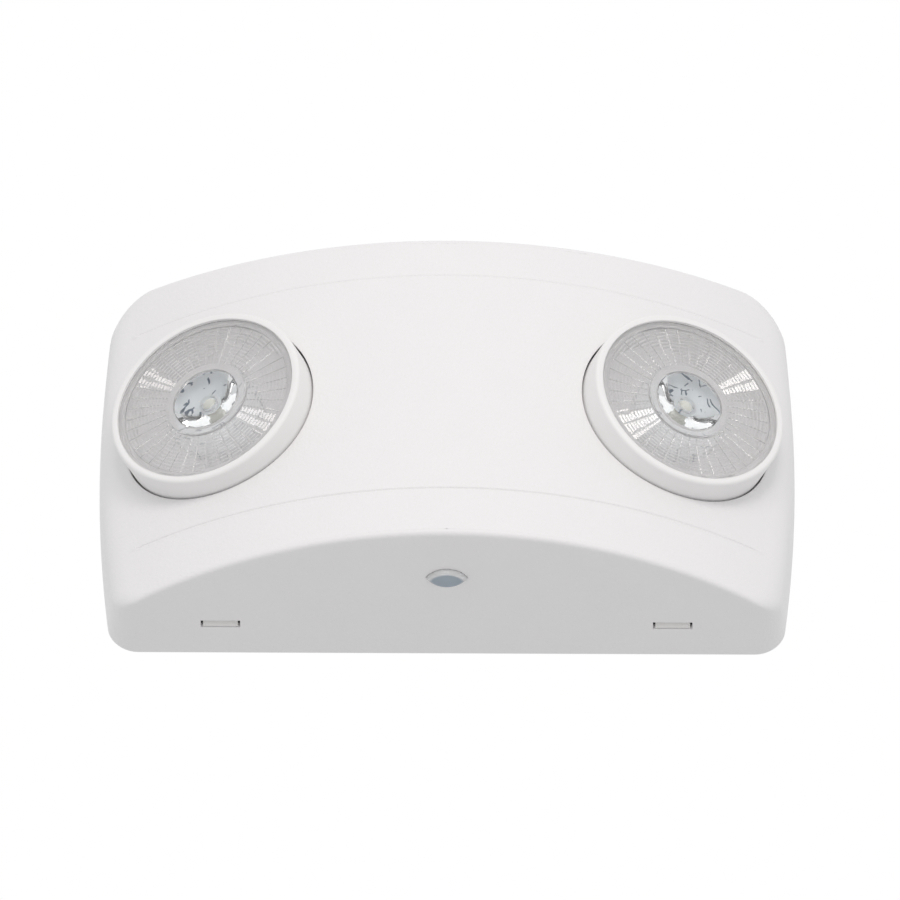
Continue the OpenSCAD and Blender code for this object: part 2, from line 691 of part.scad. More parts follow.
// Lens: prism rings on the back, flutes on the front, a raised collar round the optic,
// a key at the rim and the moulded bar opposite it
lens_hole_r = optic_r + slide_gap;
prism_r0 = lens_hole_r + optic_collar;
prism_r1 = drum_r - lip_w - lens_rim;
prism_pitch = (prism_r1 - prism_r0) / prism_rings;
collar_rise = 0.5;
key_angle = 112;
key_w = 1.6;
bar_angle = 287;
bar_span = 30;
bar_w = 1.4;
module lens(side) color([0.86, 0.9, 0.93, 0.5]) at_lamp(side) {
    difference() {
        rotate_extrude() polygon(concat(
            [[lens_hole_r, lens_back]],
            [for (k = [0 : prism_rings - 1]) each [[prism_r0 + k * prism_pitch, lens_back],
                [prism_r0 + (k + 1) * prism_pitch, lens_back + prism_cut]]],
            [[prism_r1, lens_back], [lens_r, lens_back], [lens_r, lens_face],
                [prism_r0, lens_face], [prism_r0 - collar_rise, lens_face + collar_rise],
                [lens_hole_r, lens_face + collar_rise]]));
        for (k = [1 : lens_flutes]) rotate([0, 0, 360 * k / lens_flutes])
            translate([prism_r0 + collar_rise, 0, lens_face]) rotate([90, 0, 90])
                linear_extrude(prism_r1 - prism_r0 - collar_rise)
                    polygon([[0, -flute_cut], [2 * flute_cut, flute_cut], [-2 * flute_cut, flute_cut]]);
    }
    sector(prism_r1 + over / 2, prism_r1 + over / 2 + bar_w, lens_face - over, lens_face + collar_rise,
        bar_angle, bar_span);
    rotate([0, 0, key_angle]) translate([prism_r1 + over / 2, -key_w / 2, lens_face - over])
        cube([bar_w, key_w, over + collar_rise]);
}

// Behind the lens: tray, heat sink, board, emitter, optic, rear cap and plug
tray_t = 2;
tray_rim = 1.6;
pad_r = 14;
led_board_r = 16;
led_board_t = 1.6;
emitter_w = 4.2;
emitter_t = 0.9;
dome_r = 1.9;
optic_foot_r = 5;
cavity_r = 3.4;
cavity_h = 4;
cavity_bulge = 0.8;
bulge_share = 0.7;
optic_rim = 1;
sink_r = 30;
sink_t = 1.6;
fins = 9;
fin_t = 1.2;
fin_pitch = 5.6;
fin_end = -9.4;
cap_t = 1.8;
plug_r = 3.4;
plug_bore_r = 3.8;
plug_end = -5;
module lamp_tray(side) color("white") at_lamp(side) rotate_extrude()
    polygon([[pad_r + slide_gap, -tray_t], [lens_r, -tray_t], [lens_r, lens_back],
        [lens_r - tray_rim, lens_back], [lens_r - tray_rim, 0], [pad_r + slide_gap, 0]]);
module heat_sink(side) color("lightgray") at_lamp(side) difference() {
    union() {
        disc(sink_r, -tray_t - sink_t, -tray_t);
        disc(pad_r, -tray_t - over / 2, 0);
        intersection() {
            disc(sink_r - over, fin_end, -tray_t);
            for (k = [0 : fins - 1])
                translate([-sink_r, (k - (fins - 1) / 2) * fin_pitch - fin_t / 2, fin_end])
                    cube([2 * sink_r, fin_t, -tray_t - sink_t + over / 2 - fin_end]);
        }
    }
    disc(plug_bore_r, fin_end - over, over);
}
module led_board(side) color("white") at_lamp(side) disc(led_board_r, 0, led_board_t);
module led_emitter(side) color("khaki") at_lamp(side) {
    translate([-emitter_w / 2, -emitter_w / 2, led_board_t]) cube([emitter_w, emitter_w, emitter_t]);
    intersection() {
        translate([0, 0, led_board_t + emitter_t]) sphere(r = dome_r);
        disc(dome_r + over, led_board_t + emitter_t / 2, led_board_t + emitter_t + dome_r + over);
    }
}
module optic(side) color([0.8, 0.86, 0.92, 0.6]) at_lamp(side) rotate_extrude()
    polygon([[0, led_board_t + cavity_h - cavity_bulge],
        [cavity_r / 2, led_board_t + cavity_h - bulge_share * cavity_bulge],
        [cavity_r, led_board_t + cavity_h], [cavity_r, led_board_t], [optic_foot_r, led_board_t],
        [optic_r, lens_face - optic_rim], [optic_r, lens_face], [0, lens_face]]);
module rear_cap(side) color("white") at_lamp(side)
    tube(plug_bore_r, lens_r, flange_back, flange_back + cap_t);
module lamp_plug(side) color("ivory") at_lamp(side) disc(plug_r, plug_end, 0);

// Ring that holds each drum against its collar, on three bosses of the cover
ring_hole_r = 1.9;
module retaining_ring(side) color("whitesmoke") at_lamp(side) difference() {
    union() {
        disc(ring_r, ring_back, ring_front);
        for (a = boss_angles) rotate([0, 0, a]) translate([boss_ring_r, 0, 0])
            disc(boss_r + over, ring_back, ring_front);
    }
    disc(ring_bore, ring_back - over, ring_front + over);
    for (a = boss_angles) rotate([0, 0, a]) translate([boss_ring_r, 0, 0])
        disc(ring_hole_r, ring_back - over, ring_front + over);
}
module ring_screws(side) color("silver") at_lamp(side)
    for (a = boss_angles) rotate([0, 0, a]) translate([boss_ring_r, 0, 0]) {
        disc(screw_head_r, ring_back - screw_head_t, ring_back);
        disc(pilot_r - snug_gap, ring_back - over / 2, pilot_end - over);
    }

front_cover();
back_plate();
battery_pack();
battery_strap();
circuit_board();
transformer_core();
transformer_coil();
relay();
capacitors();
terminal_block();
lead_sockets();
board_screws();
test_switch();
status_led();
test_button();
battery_lead();
left_lamp_lead();
right_lamp_lead();
lamp_shell(-1);  // left_lamp_shell
lens(-1);  // left_lens
optic(-1);  // left_optic
led_board(-1);  // left_led_board
led_emitter(-1);  // left_led_emitter
lamp_tray(-1);  // left_lamp_tray
heat_sink(-1);  // left_heat_sink
rear_cap(-1);  // left_rear_cap
lamp_plug(-1);  // left_lamp_plug
retaining_ring(-1);  // left_retaining_ring
ring_screws(-1);  // left_ring_screws
lamp_shell(1);  // right_lamp_shell
lens(1);  // right_lens
optic(1);  // right_optic
led_board(1);  // right_led_board
led_emitter(1);  // right_led_emitter
lamp_tray(1);  // right_lamp_tray
heat_sink(1);  // right_heat_sink
rear_cap(1);  // right_rear_cap
lamp_plug(1);  // right_lamp_plug
retaining_ring(1);  // right_retaining_ring
ring_screws(1);  // right_ring_screws
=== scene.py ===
"""Twin head emergency light: an arched white housing with two round lamp heads that turn,
clear prismatic lenses over moulded optics, a clear test button and latch slots below.

X is to the viewer's right, Z is up, the front faces -Y and the wall is Y = 0. "Depth" is
the distance out from the wall. A lamp's own axes are u, away from the middle, v, up, and
h, outwards along the lamp's axis from the arch.
"""

import math

import bmesh
import bpy
import numpy as np
from bpy.props import FloatProperty, FloatVectorProperty, IntProperty, PointerProperty
from bpy.types import Operator, Panel, PropertyGroup
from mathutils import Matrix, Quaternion, Vector


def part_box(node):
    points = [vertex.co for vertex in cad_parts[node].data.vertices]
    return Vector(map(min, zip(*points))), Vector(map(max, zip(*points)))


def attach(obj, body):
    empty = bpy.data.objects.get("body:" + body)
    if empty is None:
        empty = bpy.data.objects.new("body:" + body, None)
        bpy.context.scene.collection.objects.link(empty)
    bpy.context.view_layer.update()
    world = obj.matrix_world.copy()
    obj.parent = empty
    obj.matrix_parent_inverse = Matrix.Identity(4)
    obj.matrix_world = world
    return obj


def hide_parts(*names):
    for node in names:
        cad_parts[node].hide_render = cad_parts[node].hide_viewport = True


bl_info = {
    "name": "Twin Head Emergency Light",
    "version": (1, 0, 0),
    "blender": (4, 5, 0),
    "location": "View3D > Sidebar > Emergency Light",
    "description": "Builds the looks of a twin head emergency light around its packed solids",
    "category": "Object",
}

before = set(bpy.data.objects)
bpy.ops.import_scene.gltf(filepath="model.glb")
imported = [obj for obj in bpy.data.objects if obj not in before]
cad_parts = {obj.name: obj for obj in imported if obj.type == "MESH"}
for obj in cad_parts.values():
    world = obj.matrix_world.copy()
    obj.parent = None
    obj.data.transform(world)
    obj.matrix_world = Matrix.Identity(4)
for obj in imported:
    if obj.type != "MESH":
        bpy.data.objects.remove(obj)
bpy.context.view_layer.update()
COVER_LOW, COVER_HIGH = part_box("front_cover")
SIDES = {"left": -1, "right": 1}


def length(name, description, default):
    return FloatProperty(name=name, description=description, default=default, unit="LENGTH", precision=5)


def degrees(name, description, default):
    return FloatProperty(
        name=name, description=description, default=math.radians(default), subtype="ANGLE"
    )


def colour(name, description, default):
    return FloatVectorProperty(
        name=name, description=description, default=default, subtype="COLOR", size=3, min=0, max=1
    )


class HousingSizes(PropertyGroup):
    """Sizes of the arched cover"""

    width: length("Width", "Width at the wall", COVER_HIGH.x - COVER_LOW.x)
    height: length("Height", "Height at the wall", COVER_HIGH.z - COVER_LOW.z)
    depth: length("Depth", "Depth at the middle of the arch", COVER_HIGH.y - COVER_LOW.y)
    side_depth: length("Side depth", "Depth of the arch at the full width", 0.0186)
    corner: length("Corner", "Corner radius seen from the front", 0.0112)
    top_round: FloatProperty(
        name="Top rounding", description="Share by which the top corners grow rounder", default=0.6
    )
    bow: length("Side bow", "How far each side bows out", 0.0048)
    side_draft: degrees("Side draft", "Draft of the sides", 3.2)
    cap_draft: degrees("Cap draft", "Draft of the top and bottom", 4.4)
    wall: length("Wall", "Wall thickness", 0.0025)
    edge_soft: length("Edge softness", "Softness along the top and bottom", 0.0024)
    side_soft: length("Side softness", "Softness along the sides", 0.006)
    upper_line: length("Upper line", "Height of the upper line", 0.0558)
    lower_line: length("Lower line", "Height of the lower line", -0.0511)
    line_reach: length("Line reach", "Half the length of each line", 0.1244)
    line_width: length("Line width", "Width of each line", 0.001)
    line_cut: length("Line depth", "Depth of each line", 0.0005)
    slot_x: length("Slot place", "Distance of each latch slot from the middle", 0.0898)
    slot_depth: length("Slot depth", "Depth of each latch slot's middle", 0.0165)
    slot_width: length("Slot width", "Length of a latch slot", 0.0156)
    slot_gap: length("Slot gap", "Width of a latch slot", 0.0039)
    opening_lip: length("Opening lip", "Rounding of the edges of the openings", 0.0003)


class LampSizes(PropertyGroup):
    """Sizes of the lamp heads"""

    x: length("Place", "Distance of a lamp's centre from the middle", 0.0925)
    z: length("Height", "Height of the lamp centres", 0.0036)
    aim: degrees("Aim", "Turn of each lamp away from straight ahead", 24)
    drum: length("Drum", "Radius of the drum", 0.0409)
    gap: length("Gap", "Gap between the drum and its opening", 0.0007)
    collar: length("Collar", "Outer radius of the collar round the drum", 0.0438)
    collar_back: length("Collar back", "Reach of the collar behind the arch", 0.011)
    bore: length("Bore", "Inner radius of the drum", 0.0387)
    lip_rise: length("Lip rise", "How far the lip stands out", 0.00978)
    lip_radius: length("Lip inside", "Inner radius of the lip", 0.0379)
    lip_round: length("Lip rounding", "Rounding of the lip's outer edge", 0.0014)
    lens_face: length("Lens face", "Height of the front of the lens", 0.0086)
    lens_thickness: length("Lens thickness", "Thickness of the lens", 0.0024)
    lens_radius: length("Lens radius", "Radius of the lens", 0.0385)
    optic: length("Optic radius", "Radius of the middle optic", 0.0138)
    prism_start: length("Prism start", "Inner radius of the prism rings", 0.0176)
    prism_end: length("Prism end", "Outer radius of the prism rings", 0.0349)
    rings: IntProperty(name="Rings", description="Number of prism rings", default=11)
    flutes: IntProperty(name="Flutes", description="Number of flutes round the lens", default=40)
    facets: IntProperty(name="Facets", description="Facets round the optic", default=36)
    prism_slope: degrees("Prism slope", "Slope of both flanks of a prism ring", 24.8)
    flute_cut: length("Flute depth", "Depth and half width of a flute", 0.00035)


class ButtonSizes(PropertyGroup):
    """Sizes of the clear test button"""

    depth: length("Depth", "Depth of the button's middle", 0.0444)
    width: length("Opening width", "Width of the opening", 0.0168)
    thickness: length("Opening depth", "Size of the opening, front to back", 0.01)
    gap: length("Gap", "Gap round the button", 0.0003)
    crown: length("Crown", "How far the crown stands below the face", 0.0019)


class Finishes(PropertyGroup):
    """Colours of what shows"""

    housing: colour("Housing", "Moulded housing", (0.856, 0.845, 0.845))
    drum: colour("Drum", "Moulded drum", (0.87, 0.86, 0.855))
    tray: colour("Tray", "Floor behind the lens", (0.95, 0.935, 0.93))
    lens: colour("Lens", "Clear lens", (0.99, 0.985, 0.99))
    optic: colour("Optic", "Clear optic", (0.98, 0.995, 1.0))
    button: colour("Button", "Clear button", (0.88, 0.91, 0.94))
    phosphor: colour("Phosphor", "Dome of the emitter", (0.97, 0.95, 0.86))


def housing():
    return bpy.context.scene.housing_sizes


def lamp():
    return bpy.context.scene.lamp_sizes


def button():
    return bpy.context.scene.button_sizes


# Shapes of the housing: the arch, the outline and the soft edge between them

LEAST_CORNER = 0.25  # Smallest share of the corner radius that an inset leaves
MEET_STEPS = 8


def arch_radius(h):
    """Radius of the arch, a circle that rises by the depth less the side depth in half the
    width."""
    rise = h.depth - h.side_depth
    return ((h.width / 2) ** 2 + rise**2) / (2 * rise)


def arch_depth(h, x, inset=0.0):
    """Depth of the arch: a circle about an upright axis, less the distance to that axis."""
    radius = arch_radius(h)
    return np.sqrt((radius - inset) ** 2 - x**2) - (radius - h.depth)


def outline(h, stations, depth, inset=0.0, soft=(0.0, 0.0)):
    """Outline at a depth: a rounded rectangle drawn in by its drafts, with bowed sides and
    top corners that grow rounder towards the front.

    A station is a share of the straight stretches, across and up, and a normal angle."""
    across, up, angle = stations
    half_w = h.width / 2 - depth * math.tan(h.side_draft) - inset - soft[0]
    half_h = h.height / 2 - depth * math.tan(h.cap_draft) - inset - soft[1]
    r = np.maximum(
        h.corner - depth * math.tan(h.side_draft) - inset - soft[1], h.corner * LEAST_CORNER
    )
    r = r * (1 + h.top_round * np.clip(depth / h.side_depth, 0, 1) * (np.asarray(up) > 0))
    x = across * (half_w - r) + r * np.cos(angle)
    z = up * (half_h - r) + r * np.sin(angle)
    return x * (1 - h.bow / half_w * (z / half_h) ** 2), z


def meet_depth(h, stations, inset):
    """Depth at which the wall at each station meets the arch, by stepping closer."""
    depth = np.zeros(len(stations[0]))
    for _ in range(MEET_STEPS):
        depth = arch_depth(h, outline(h, stations, depth, inset)[0], inset)
    return depth


def place(x, depth, z):
    """Points from across, depth and height, stacked in the last axis."""
    return np.stack(np.broadcast_arrays(x, -np.asarray(depth), z), axis=-1).astype(float)


def lamp_place(side, u, v, height):
    """Points from a lamp's own axes: turned out by its aim and set on the arch."""
    h, s = housing(), lamp()
    sin, cos = math.sin(s.aim), math.cos(s.aim)
    x = s.x + height * sin + u * cos
    depth = arch_depth(h, s.x) + height * cos - u * sin
    return place(side * x, depth, s.z + v)


def around(side, radius, angle, height):
    """Points round a lamp's axis, at a radius, an angle and a height."""
    return lamp_place(side, radius * np.cos(angle), radius * np.sin(angle), height)


def full_turn(steps):
    """Evenly spaced angles, once round."""
    return np.linspace(0, 2 * math.pi, steps, endpoint=False)


def arch_height(u, inset):
    """Height over the lamp's plane at which a line along its axis, at u, meets the arch."""
    h, s = housing(), lamp()
    sin, cos = math.sin(s.aim), math.cos(s.aim)
    big = arch_radius(h)
    p = s.x + u * cos
    q = arch_depth(h, s.x) + big - h.depth - u * sin
    b = p * sin + q * cos
    return -b + np.sqrt(b**2 - (p**2 + q**2 - (big - inset) ** 2))


WELD = 2e-7  # Points closer than this become one


class Parts:
    """Grids of points, gathered and then welded into one mesh."""

    def __init__(self):
        self.points = []
        self.faces = []
        self.count = 0

    def grid(self, points, keep=None, closed=False):
        """Adds a grid of quads. keep is a mask of its cells, closed joins its last column
        to its first."""
        rows, cols = points.shape[:2]
        index = self.count + np.arange(rows * cols).reshape(rows, cols)
        if closed:
            index = np.concatenate([index, index[:, :1]], axis=1)
        quads = np.stack([index[:-1, :-1], index[:-1, 1:], index[1:, 1:], index[1:, :-1]], axis=-1)
        self.faces.append(quads.reshape(-1, 4) if keep is None else quads[keep])
        self.points.append(points.reshape(-1, 3))
        self.count += rows * cols

    def mesh(self, name, sharp=35.0):
        """Welds the grids, turns the faces outwards and shades them smooth."""
        points = np.concatenate(self.points)
        faces = np.concatenate(self.faces)
        mesh = bpy.data.meshes.new(name)
        mesh.from_pydata(points, [], faces.tolist())
        cells = bmesh.new()
        cells.from_mesh(mesh)
        bmesh.ops.remove_doubles(cells, verts=cells.verts, dist=WELD)
        bmesh.ops.dissolve_degenerate(cells, edges=cells.edges, dist=WELD)
        bmesh.ops.recalc_face_normals(cells, faces=cells.faces)
        cells.to_mesh(mesh)
        cells.free()
        mesh.shade_smooth()
        mesh.set_sharp_from_angle(angle=math.radians(sharp))
        return mesh


def ring_mesh(name, rings, sharp):
    """One mesh from rings of points, each joined to the next and closed round."""
    parts = Parts()
    parts.grid(np.stack(rings), closed=True)
    return parts.mesh(name, sharp)


def put(data):
    """A new object in the scene, with the name of its data."""
    item = bpy.data.objects.new(data.name, data)
    bpy.context.scene.collection.objects.link(item)
    return item


def add_piece(mesh, body, nodes, material):
    """Puts a mesh in the scene as a piece that rides on a body and stands for CAD nodes."""
    piece = put(mesh)
    mesh.materials.append(material)
    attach(piece, body)
    if nodes:
        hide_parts(*nodes)


# The cover: one skin outside and one inside, with the same rows and columns

ARC_STEPS = 10  # Steps round a corner of the outline
SOFT_STEPS = 7  # Steps over the soft edge
WALL_ROWS = 20  # Rows from the soft edge to the wall
FILL_STEPS = 7  # Rings from an opening's edge out to its block
EDGE_STEPS = 3  # Steps round the edge of an opening
FADE_ROWS = 2  # Rows between a corner and the level rows
SIDE_SAMPLES = 400
BAND_LOW, BAND_HIGH = -0.0575, 0.06  # Heights of the lowest and the highest level row
SIDE_TOP = 0.068  # Greatest height, up or down, at which those rows begin
PLAIN_COLUMNS, FINE_COLUMNS = 48, 26
FINE_FROM = 0.9  # Share of a line's reach at which the fine columns begin
MARGIN_ROWS, MIDDLE_ROWS = 4, 52
CUT_ROWS = np.array([0.2, 0.4, 0.6, 0.9, 1.3, 1.8, 2.4])  # From a line's middle, in its widths
HOLE_MARGIN, SLOT_MARGIN = 0.003, 0.0022  # Room left round an opening in its block


def columns(h):
    """Shares across the arch: even steps, with finer ones where the lines end."""
    reach = FINE_FROM * h.line_reach / (h.width / 2)
    inner = np.linspace(0, reach, PLAIN_COLUMNS, endpoint=False)
    right = np.concatenate([inner, np.linspace(reach, 1, FINE_COLUMNS)])
    return np.concatenate([-right[:0:-1], right])


def rows(h):
    """Heights of the level rows: even steps, with the rows of each line's cut between."""
    cut = h.line_width * np.concatenate([-CUT_ROWS[::-1], [0.0], CUT_ROWS])
    low, high = h.lower_line + cut, h.upper_line + cut
    below = np.linspace(BAND_LOW, low[0], MARGIN_ROWS, endpoint=False)
    between = np.linspace(low[-1], high[0], MIDDLE_ROWS)[1:-1]
    above = np.linspace(high[-1], BAND_HIGH, MARGIN_ROWS)[1:]
    return np.concatenate([below, low, between, high, above])


def bell(x, width):
    """A bell curve: e to the power of minus the square of x over its width."""
    return np.exp(-((x / width) ** 2))


def line_relief(h, x, z):
    """Relief of the two lines: a narrow bell-shaped cut, a low bell-shaped lip on the side
    away from the middle, and a small round pip at each end. The upper one is shallower."""
    cut_width, lip_rise, lip_away, lip_width = 0.3, 0.22, 0.9, 0.45
    pip_rise, pip_radius = 0.9, 0.9
    relief = np.zeros_like(x)
    for line, way, share in ((h.lower_line, -1, 1.1), (h.upper_line, 1, 0.6)):
        out = way * (z - line) / h.line_width
        cut = bell(out, cut_width) - lip_rise * bell(out - lip_away, lip_width)
        along = np.clip((h.line_reach - np.abs(x)) / h.line_width + 0.5, 0, 1)
        end = np.hypot(np.abs(x) - h.line_reach, z - line) / h.line_width
        pip = np.sqrt(np.clip(1 - (end / pip_radius) ** 2, 0, 1))
        relief += pip_rise * h.line_cut * pip - share * h.line_cut * cut * along * (pip == 0)
    return relief


def blend_patch(bottom, top, left, right):
    """Fills four edges of (x, z) points: the sum of both ways across, less the corners."""
    a = np.linspace(0, 1, len(bottom))[None, :, None]
    b = np.linspace(0, 1, len(left))[:, None, None]
    both = (1 - b) * bottom[None] + b * top[None] + (1 - a) * left[:, None] + a * right[:, None]
    corners = (1 - a) * (1 - b) * bottom[0] + a * (1 - b) * bottom[-1]
    return both - (corners + (1 - a) * b * top[0] + a * b * top[-1])


def block_loop(points, block):
    """Points round a block of a grid, once round, and each one's place from -1 to 1."""
    r0, r1, c0, c1 = block
    up, across = np.arange(r0, r1), np.arange(c0, c1)
    r = np.concatenate([across * 0 + r0, up, across * 0 + r1, r0 + r1 - up])
    c = np.concatenate([across, up * 0 + c1, c0 + c1 - across, up * 0 + c0])
    return points[r, c], 2 * (c - c0) / (c1 - c0) - 1, 2 * (r - r0) / (r1 - r0) - 1


def without(points, blocks):
    """A mask of the cells of a grid that lie in none of the blocks."""
    keep = np.ones((points.shape[0] - 1, points.shape[1] - 1), bool)
    for r0, r1, c0, c1 in blocks:
        keep[r0:r1, c0:c1] = False
    return keep


class Skin:
    """One skin of the cover at an inset, sharp or with the soft edge. The inner skin takes
    its blocks from the outer one, so that their openings have as many points."""

    def __init__(self, h, inset, soft, hole, like=None):
        self.h, self.inset, self.soft, self.like = h, inset, soft, like
        self.share = columns(h)
        self.level = rows(h)
        self.insets = (h.side_soft, h.edge_soft) if soft else (0.0, 0.0)
        self.parts = Parts()
        self.front()
        self.walls()
        self.holes = {side: self.lamp_hole(side, hole) for side in (-1, 1)}
        self.openings = {}

    def ring(self, stations):
        """Front edge of the skin: where the arch begins."""
        depth = meet_depth(self.h, stations, self.inset)
        return np.stack(outline(self.h, stations, depth, self.inset, self.insets), axis=-1)

    def side_stations(self):
        """Stations up the right side: the lower corner, the levels and the upper corner."""
        share = np.linspace(-1, 1, SIDE_SAMPLES)
        z = self.ring((np.ones_like(share), share, np.zeros_like(share)))[:, 1]
        head = np.linspace(self.level[-1], min(SIDE_TOP, z[-1]), FADE_ROWS + 2)[1:-1]
        foot = np.linspace(max(-SIDE_TOP, z[0]), self.level[0], FADE_ROWS + 2)[1:-1]
        levels = np.interp(np.concatenate([foot, self.level, head]), z, share)
        arc = np.linspace(0, math.pi / 2, ARC_STEPS + 1)
        ones = np.ones_like(arc)
        up = np.concatenate([-ones, levels, ones])
        angle = np.concatenate([arc - math.pi / 2, np.zeros(len(levels)), arc])
        return np.ones(len(up)), up, angle

    def front(self):
        """The arch: level rows between the lines, and blended patches above and below."""
        side = self.side_stations()
        n = len(self.share)
        cap = (self.share, np.ones(n), np.full(n, math.pi / 2))
        self.stations = {
            "right": side,
            "left": (-side[0], side[1], math.pi - side[2]),
            "top": cap,
            "bottom": (cap[0], -cap[1], -cap[2]),
        }
        edge = {name: self.ring(s) for name, s in self.stations.items()}
        left, right = edge["left"], edge["right"]
        first = ARC_STEPS + 1 + FADE_ROWS
        last = first + len(self.level) - 1
        across = self.share[None] * right[first : last + 1, :1]
        band = np.stack(np.broadcast_arrays(across, self.level[:, None]), axis=-1)
        low = blend_patch(edge["bottom"], band[0], left[: first + 1], right[: first + 1])
        high = blend_patch(band[-1], edge["top"], left[last:], right[last:])
        flat = np.concatenate([low[:-1], band, high[1:]])
        x, z = flat[..., 0], flat[..., 1]
        depth = arch_depth(self.h, x, self.inset)
        if self.soft:
            depth = depth + line_relief(self.h, x, z)
        self.arch = place(x, depth, z)
        self.first_level = first

    def at(self, stations, depth):
        """Points of the plain outline at a depth."""
        x, z = outline(self.h, stations, depth, self.inset)
        return place(x, depth, z)

    def walls(self):
        """The sides: a soft edge, as a curve through three points, then the drafted wall."""
        h = self.h
        self.wall_grids = {}
        for name, stations in self.stations.items():
            depth = meet_depth(h, stations, self.inset)
            front = self.ring(stations)
            soft = h.edge_soft + (h.side_soft - h.edge_soft) * np.cos(stations[2]) ** 2
            start = depth - soft
            back, corner = self.at(stations, start), self.at(stations, depth)
            nose = place(front[:, 0], arch_depth(h, front[:, 0], self.inset), front[:, 1])
            if not self.soft:
                corner = (back + nose) / 2
            rings = []
            for t in np.linspace(1, 0, SOFT_STEPS, endpoint=False):
                rings.append((1 - t) ** 2 * back + 2 * t * (1 - t) * corner + t**2 * nose)
            rings += [self.at(stations, start * t) for t in np.linspace(1, 0, WALL_ROWS + 1)]
            grid = np.stack(rings)
            self.wall_grids[name] = grid
            if name != "bottom":
                self.parts.grid(grid)

    def lamp_hole(self, side, radius):
        """Fills the arch round a lamp, from a block of its grid in to the round edge."""
        s = lamp()
        if self.like:
            block = self.like.holes[side]["block"]
        else:
            reach = s.collar + HOLE_MARGIN
            r0 = self.first_level + int(np.searchsorted(self.level, s.z - reach)) - 1
            r1 = self.first_level + int(np.searchsorted(self.level, s.z + reach))
            middle = self.arch[(r0 + r1) // 2, :, 0]
            inner = s.x - s.collar * math.cos(s.aim) - 2 * HOLE_MARGIN
            last = len(middle) - 1
            c0 = int(np.searchsorted(middle, inner)) - 1
            block = (r0, r1, c0, last) if side > 0 else (r0, r1, 0, last - c0)
        loop, _, _ = block_loop(self.arch, block)
        sin, cos = math.sin(s.aim), math.cos(s.aim)
        dx = side * loop[:, 0] - s.x
        dd = -loop[:, 1] - arch_depth(self.h, s.x)
        angle = np.arctan2(loop[:, 2] - s.z, dx * cos - dd * sin)
        height = arch_height(radius * np.cos(angle), self.inset)
        edge = around(side, radius, angle, height)
        t = np.linspace(0, 1, FILL_STEPS + 1)[:, None, None]
        fill = edge * (1 - t) + loop * t
        fill[1:-1, :, 1] = -arch_depth(self.h, fill[1:-1, :, 0], self.inset)
        self.parts.grid(fill, closed=True)
        return {"block": block, "angle": angle, "height": height}

    def opening(self, name, centre_x, centre_depth, half_w, half_t, shape, lip):
        """Fills the bottom wall round an opening, in to its outline plus a lip."""
        h, grid = self.h, self.wall_grids["bottom"]
        if self.like:
            block = self.like.openings[name]["block"]
        else:
            far_w, far_t = half_w + SLOT_MARGIN, half_t + SLOT_MARGIN
            x, depth = grid[..., 0], -grid[..., 1]
            cols = np.flatnonzero(np.abs(x[-1] - centre_x) < far_w)
            c0, c1 = cols[0] - 1, cols[-1] + 1
            near = depth[:, c0 : c1 + 1]
            r0 = int(np.flatnonzero((near > centre_depth + far_t).all(axis=1))[-1])
            r1 = int(np.flatnonzero((near < centre_depth - far_t).all(axis=1))[0])
            block = (r0, r1, c0, c1)
        loop, a, b = block_loop(grid, block)

        def edge(extra):
            along, across = shape(a, b, half_w + extra, half_t + extra)
            d = centre_depth - across
            z = -(h.height / 2 - d * math.tan(h.cap_draft) - self.inset)
            return place(centre_x + along, d, z)

        t = np.linspace(0, 1, FILL_STEPS)[:, None, None]
        self.parts.grid(edge(lip) * (1 - t) + loop * t, closed=True)
        self.openings[name] = {"block": block, "edge": edge}

    def close(self):
        """Adds the arch and the bottom wall, without the cells under their openings."""
        for grid, gaps in ((self.arch, self.holes), (self.wall_grids["bottom"], self.openings)):
            self.parts.grid(grid, without(grid, [gap["block"] for gap in gaps.values()]))


def slot_shape(a, b, half_w, half_t):
    """A straight-sided slot: the place in the block, scaled."""
    return a * half_w, b * half_t


def eye(angle, half_w, half_t):
    """Two arcs that meet in tips, by the angle round the eye."""
    tip = 1e-9
    r = (half_w**2 + half_t**2) / (2 * half_t)
    x = half_w * np.cos(angle)
    y = np.sign(np.sin(angle)) * (np.sqrt(r**2 - x**2) - (r - half_t))
    return x, np.where(np.abs(np.sin(angle)) < tip, 0, y)


def eye_shape(a, b, half_w, half_t):
    """The eye, with the place in the block as an angle round it."""
    return eye(np.arctan2(b, a), half_w, half_t)


RING_FACE = -0.0136  # Height of the retaining ring's front face
BOSS_TURNS = (80, 180, 280)
BOSS_STEPS, BLOCK_STEPS = 32, 7
POST_RADII, POST_TURNS = (0.0449, 0.0486), (264.4, 275.6)


def boss_top(u, up):
    """A height over each u: the one given, or for None one inside the cover's wall."""
    return arch_height(u, housing().wall / 2) if up is None else np.full_like(u, up)


def screw_boss(parts, side, turn):
    """A boss for a ring screw: rings round its pilot hole, the last under the arch."""
    a = full_turn(BOSS_STEPS)
    blind, pilot, outer, reach = -0.008, 0.0015, 0.0036, 0.0522
    profile = ((0, blind), (pilot, blind), (pilot, RING_FACE), (outer, RING_FACE), (outer, None), (0, None))
    rings = []
    for radius, up in profile:
        u = reach * math.cos(turn) + radius * np.cos(a)
        v = reach * math.sin(turn) + radius * np.sin(a)
        rings.append(lamp_place(side, u, v, boss_top(u, up)))
    parts.grid(np.stack(rings), closed=True)


def block_of(parts, side, radii, turns, low, high):
    """A short curved block round the lamp's axis: a ring of corners carried along a turn,
    with a cap at both ends. high may be None, for up to just under the arch."""
    a = np.radians(np.linspace(*turns, BLOCK_STEPS))
    corners = []
    for radius, up in ((radii[0], low), (radii[1], low), (radii[1], high), (radii[0], high)):
        corners.append(around(side, radius, a, boss_top(radius * np.cos(a), up)))
    corners = np.stack(corners)
    parts.grid(corners[[0, 1, 2, 3, 0]])
    for end in (0, -1):
        parts.grid(corners[[[0, 1], [3, 2]], end])


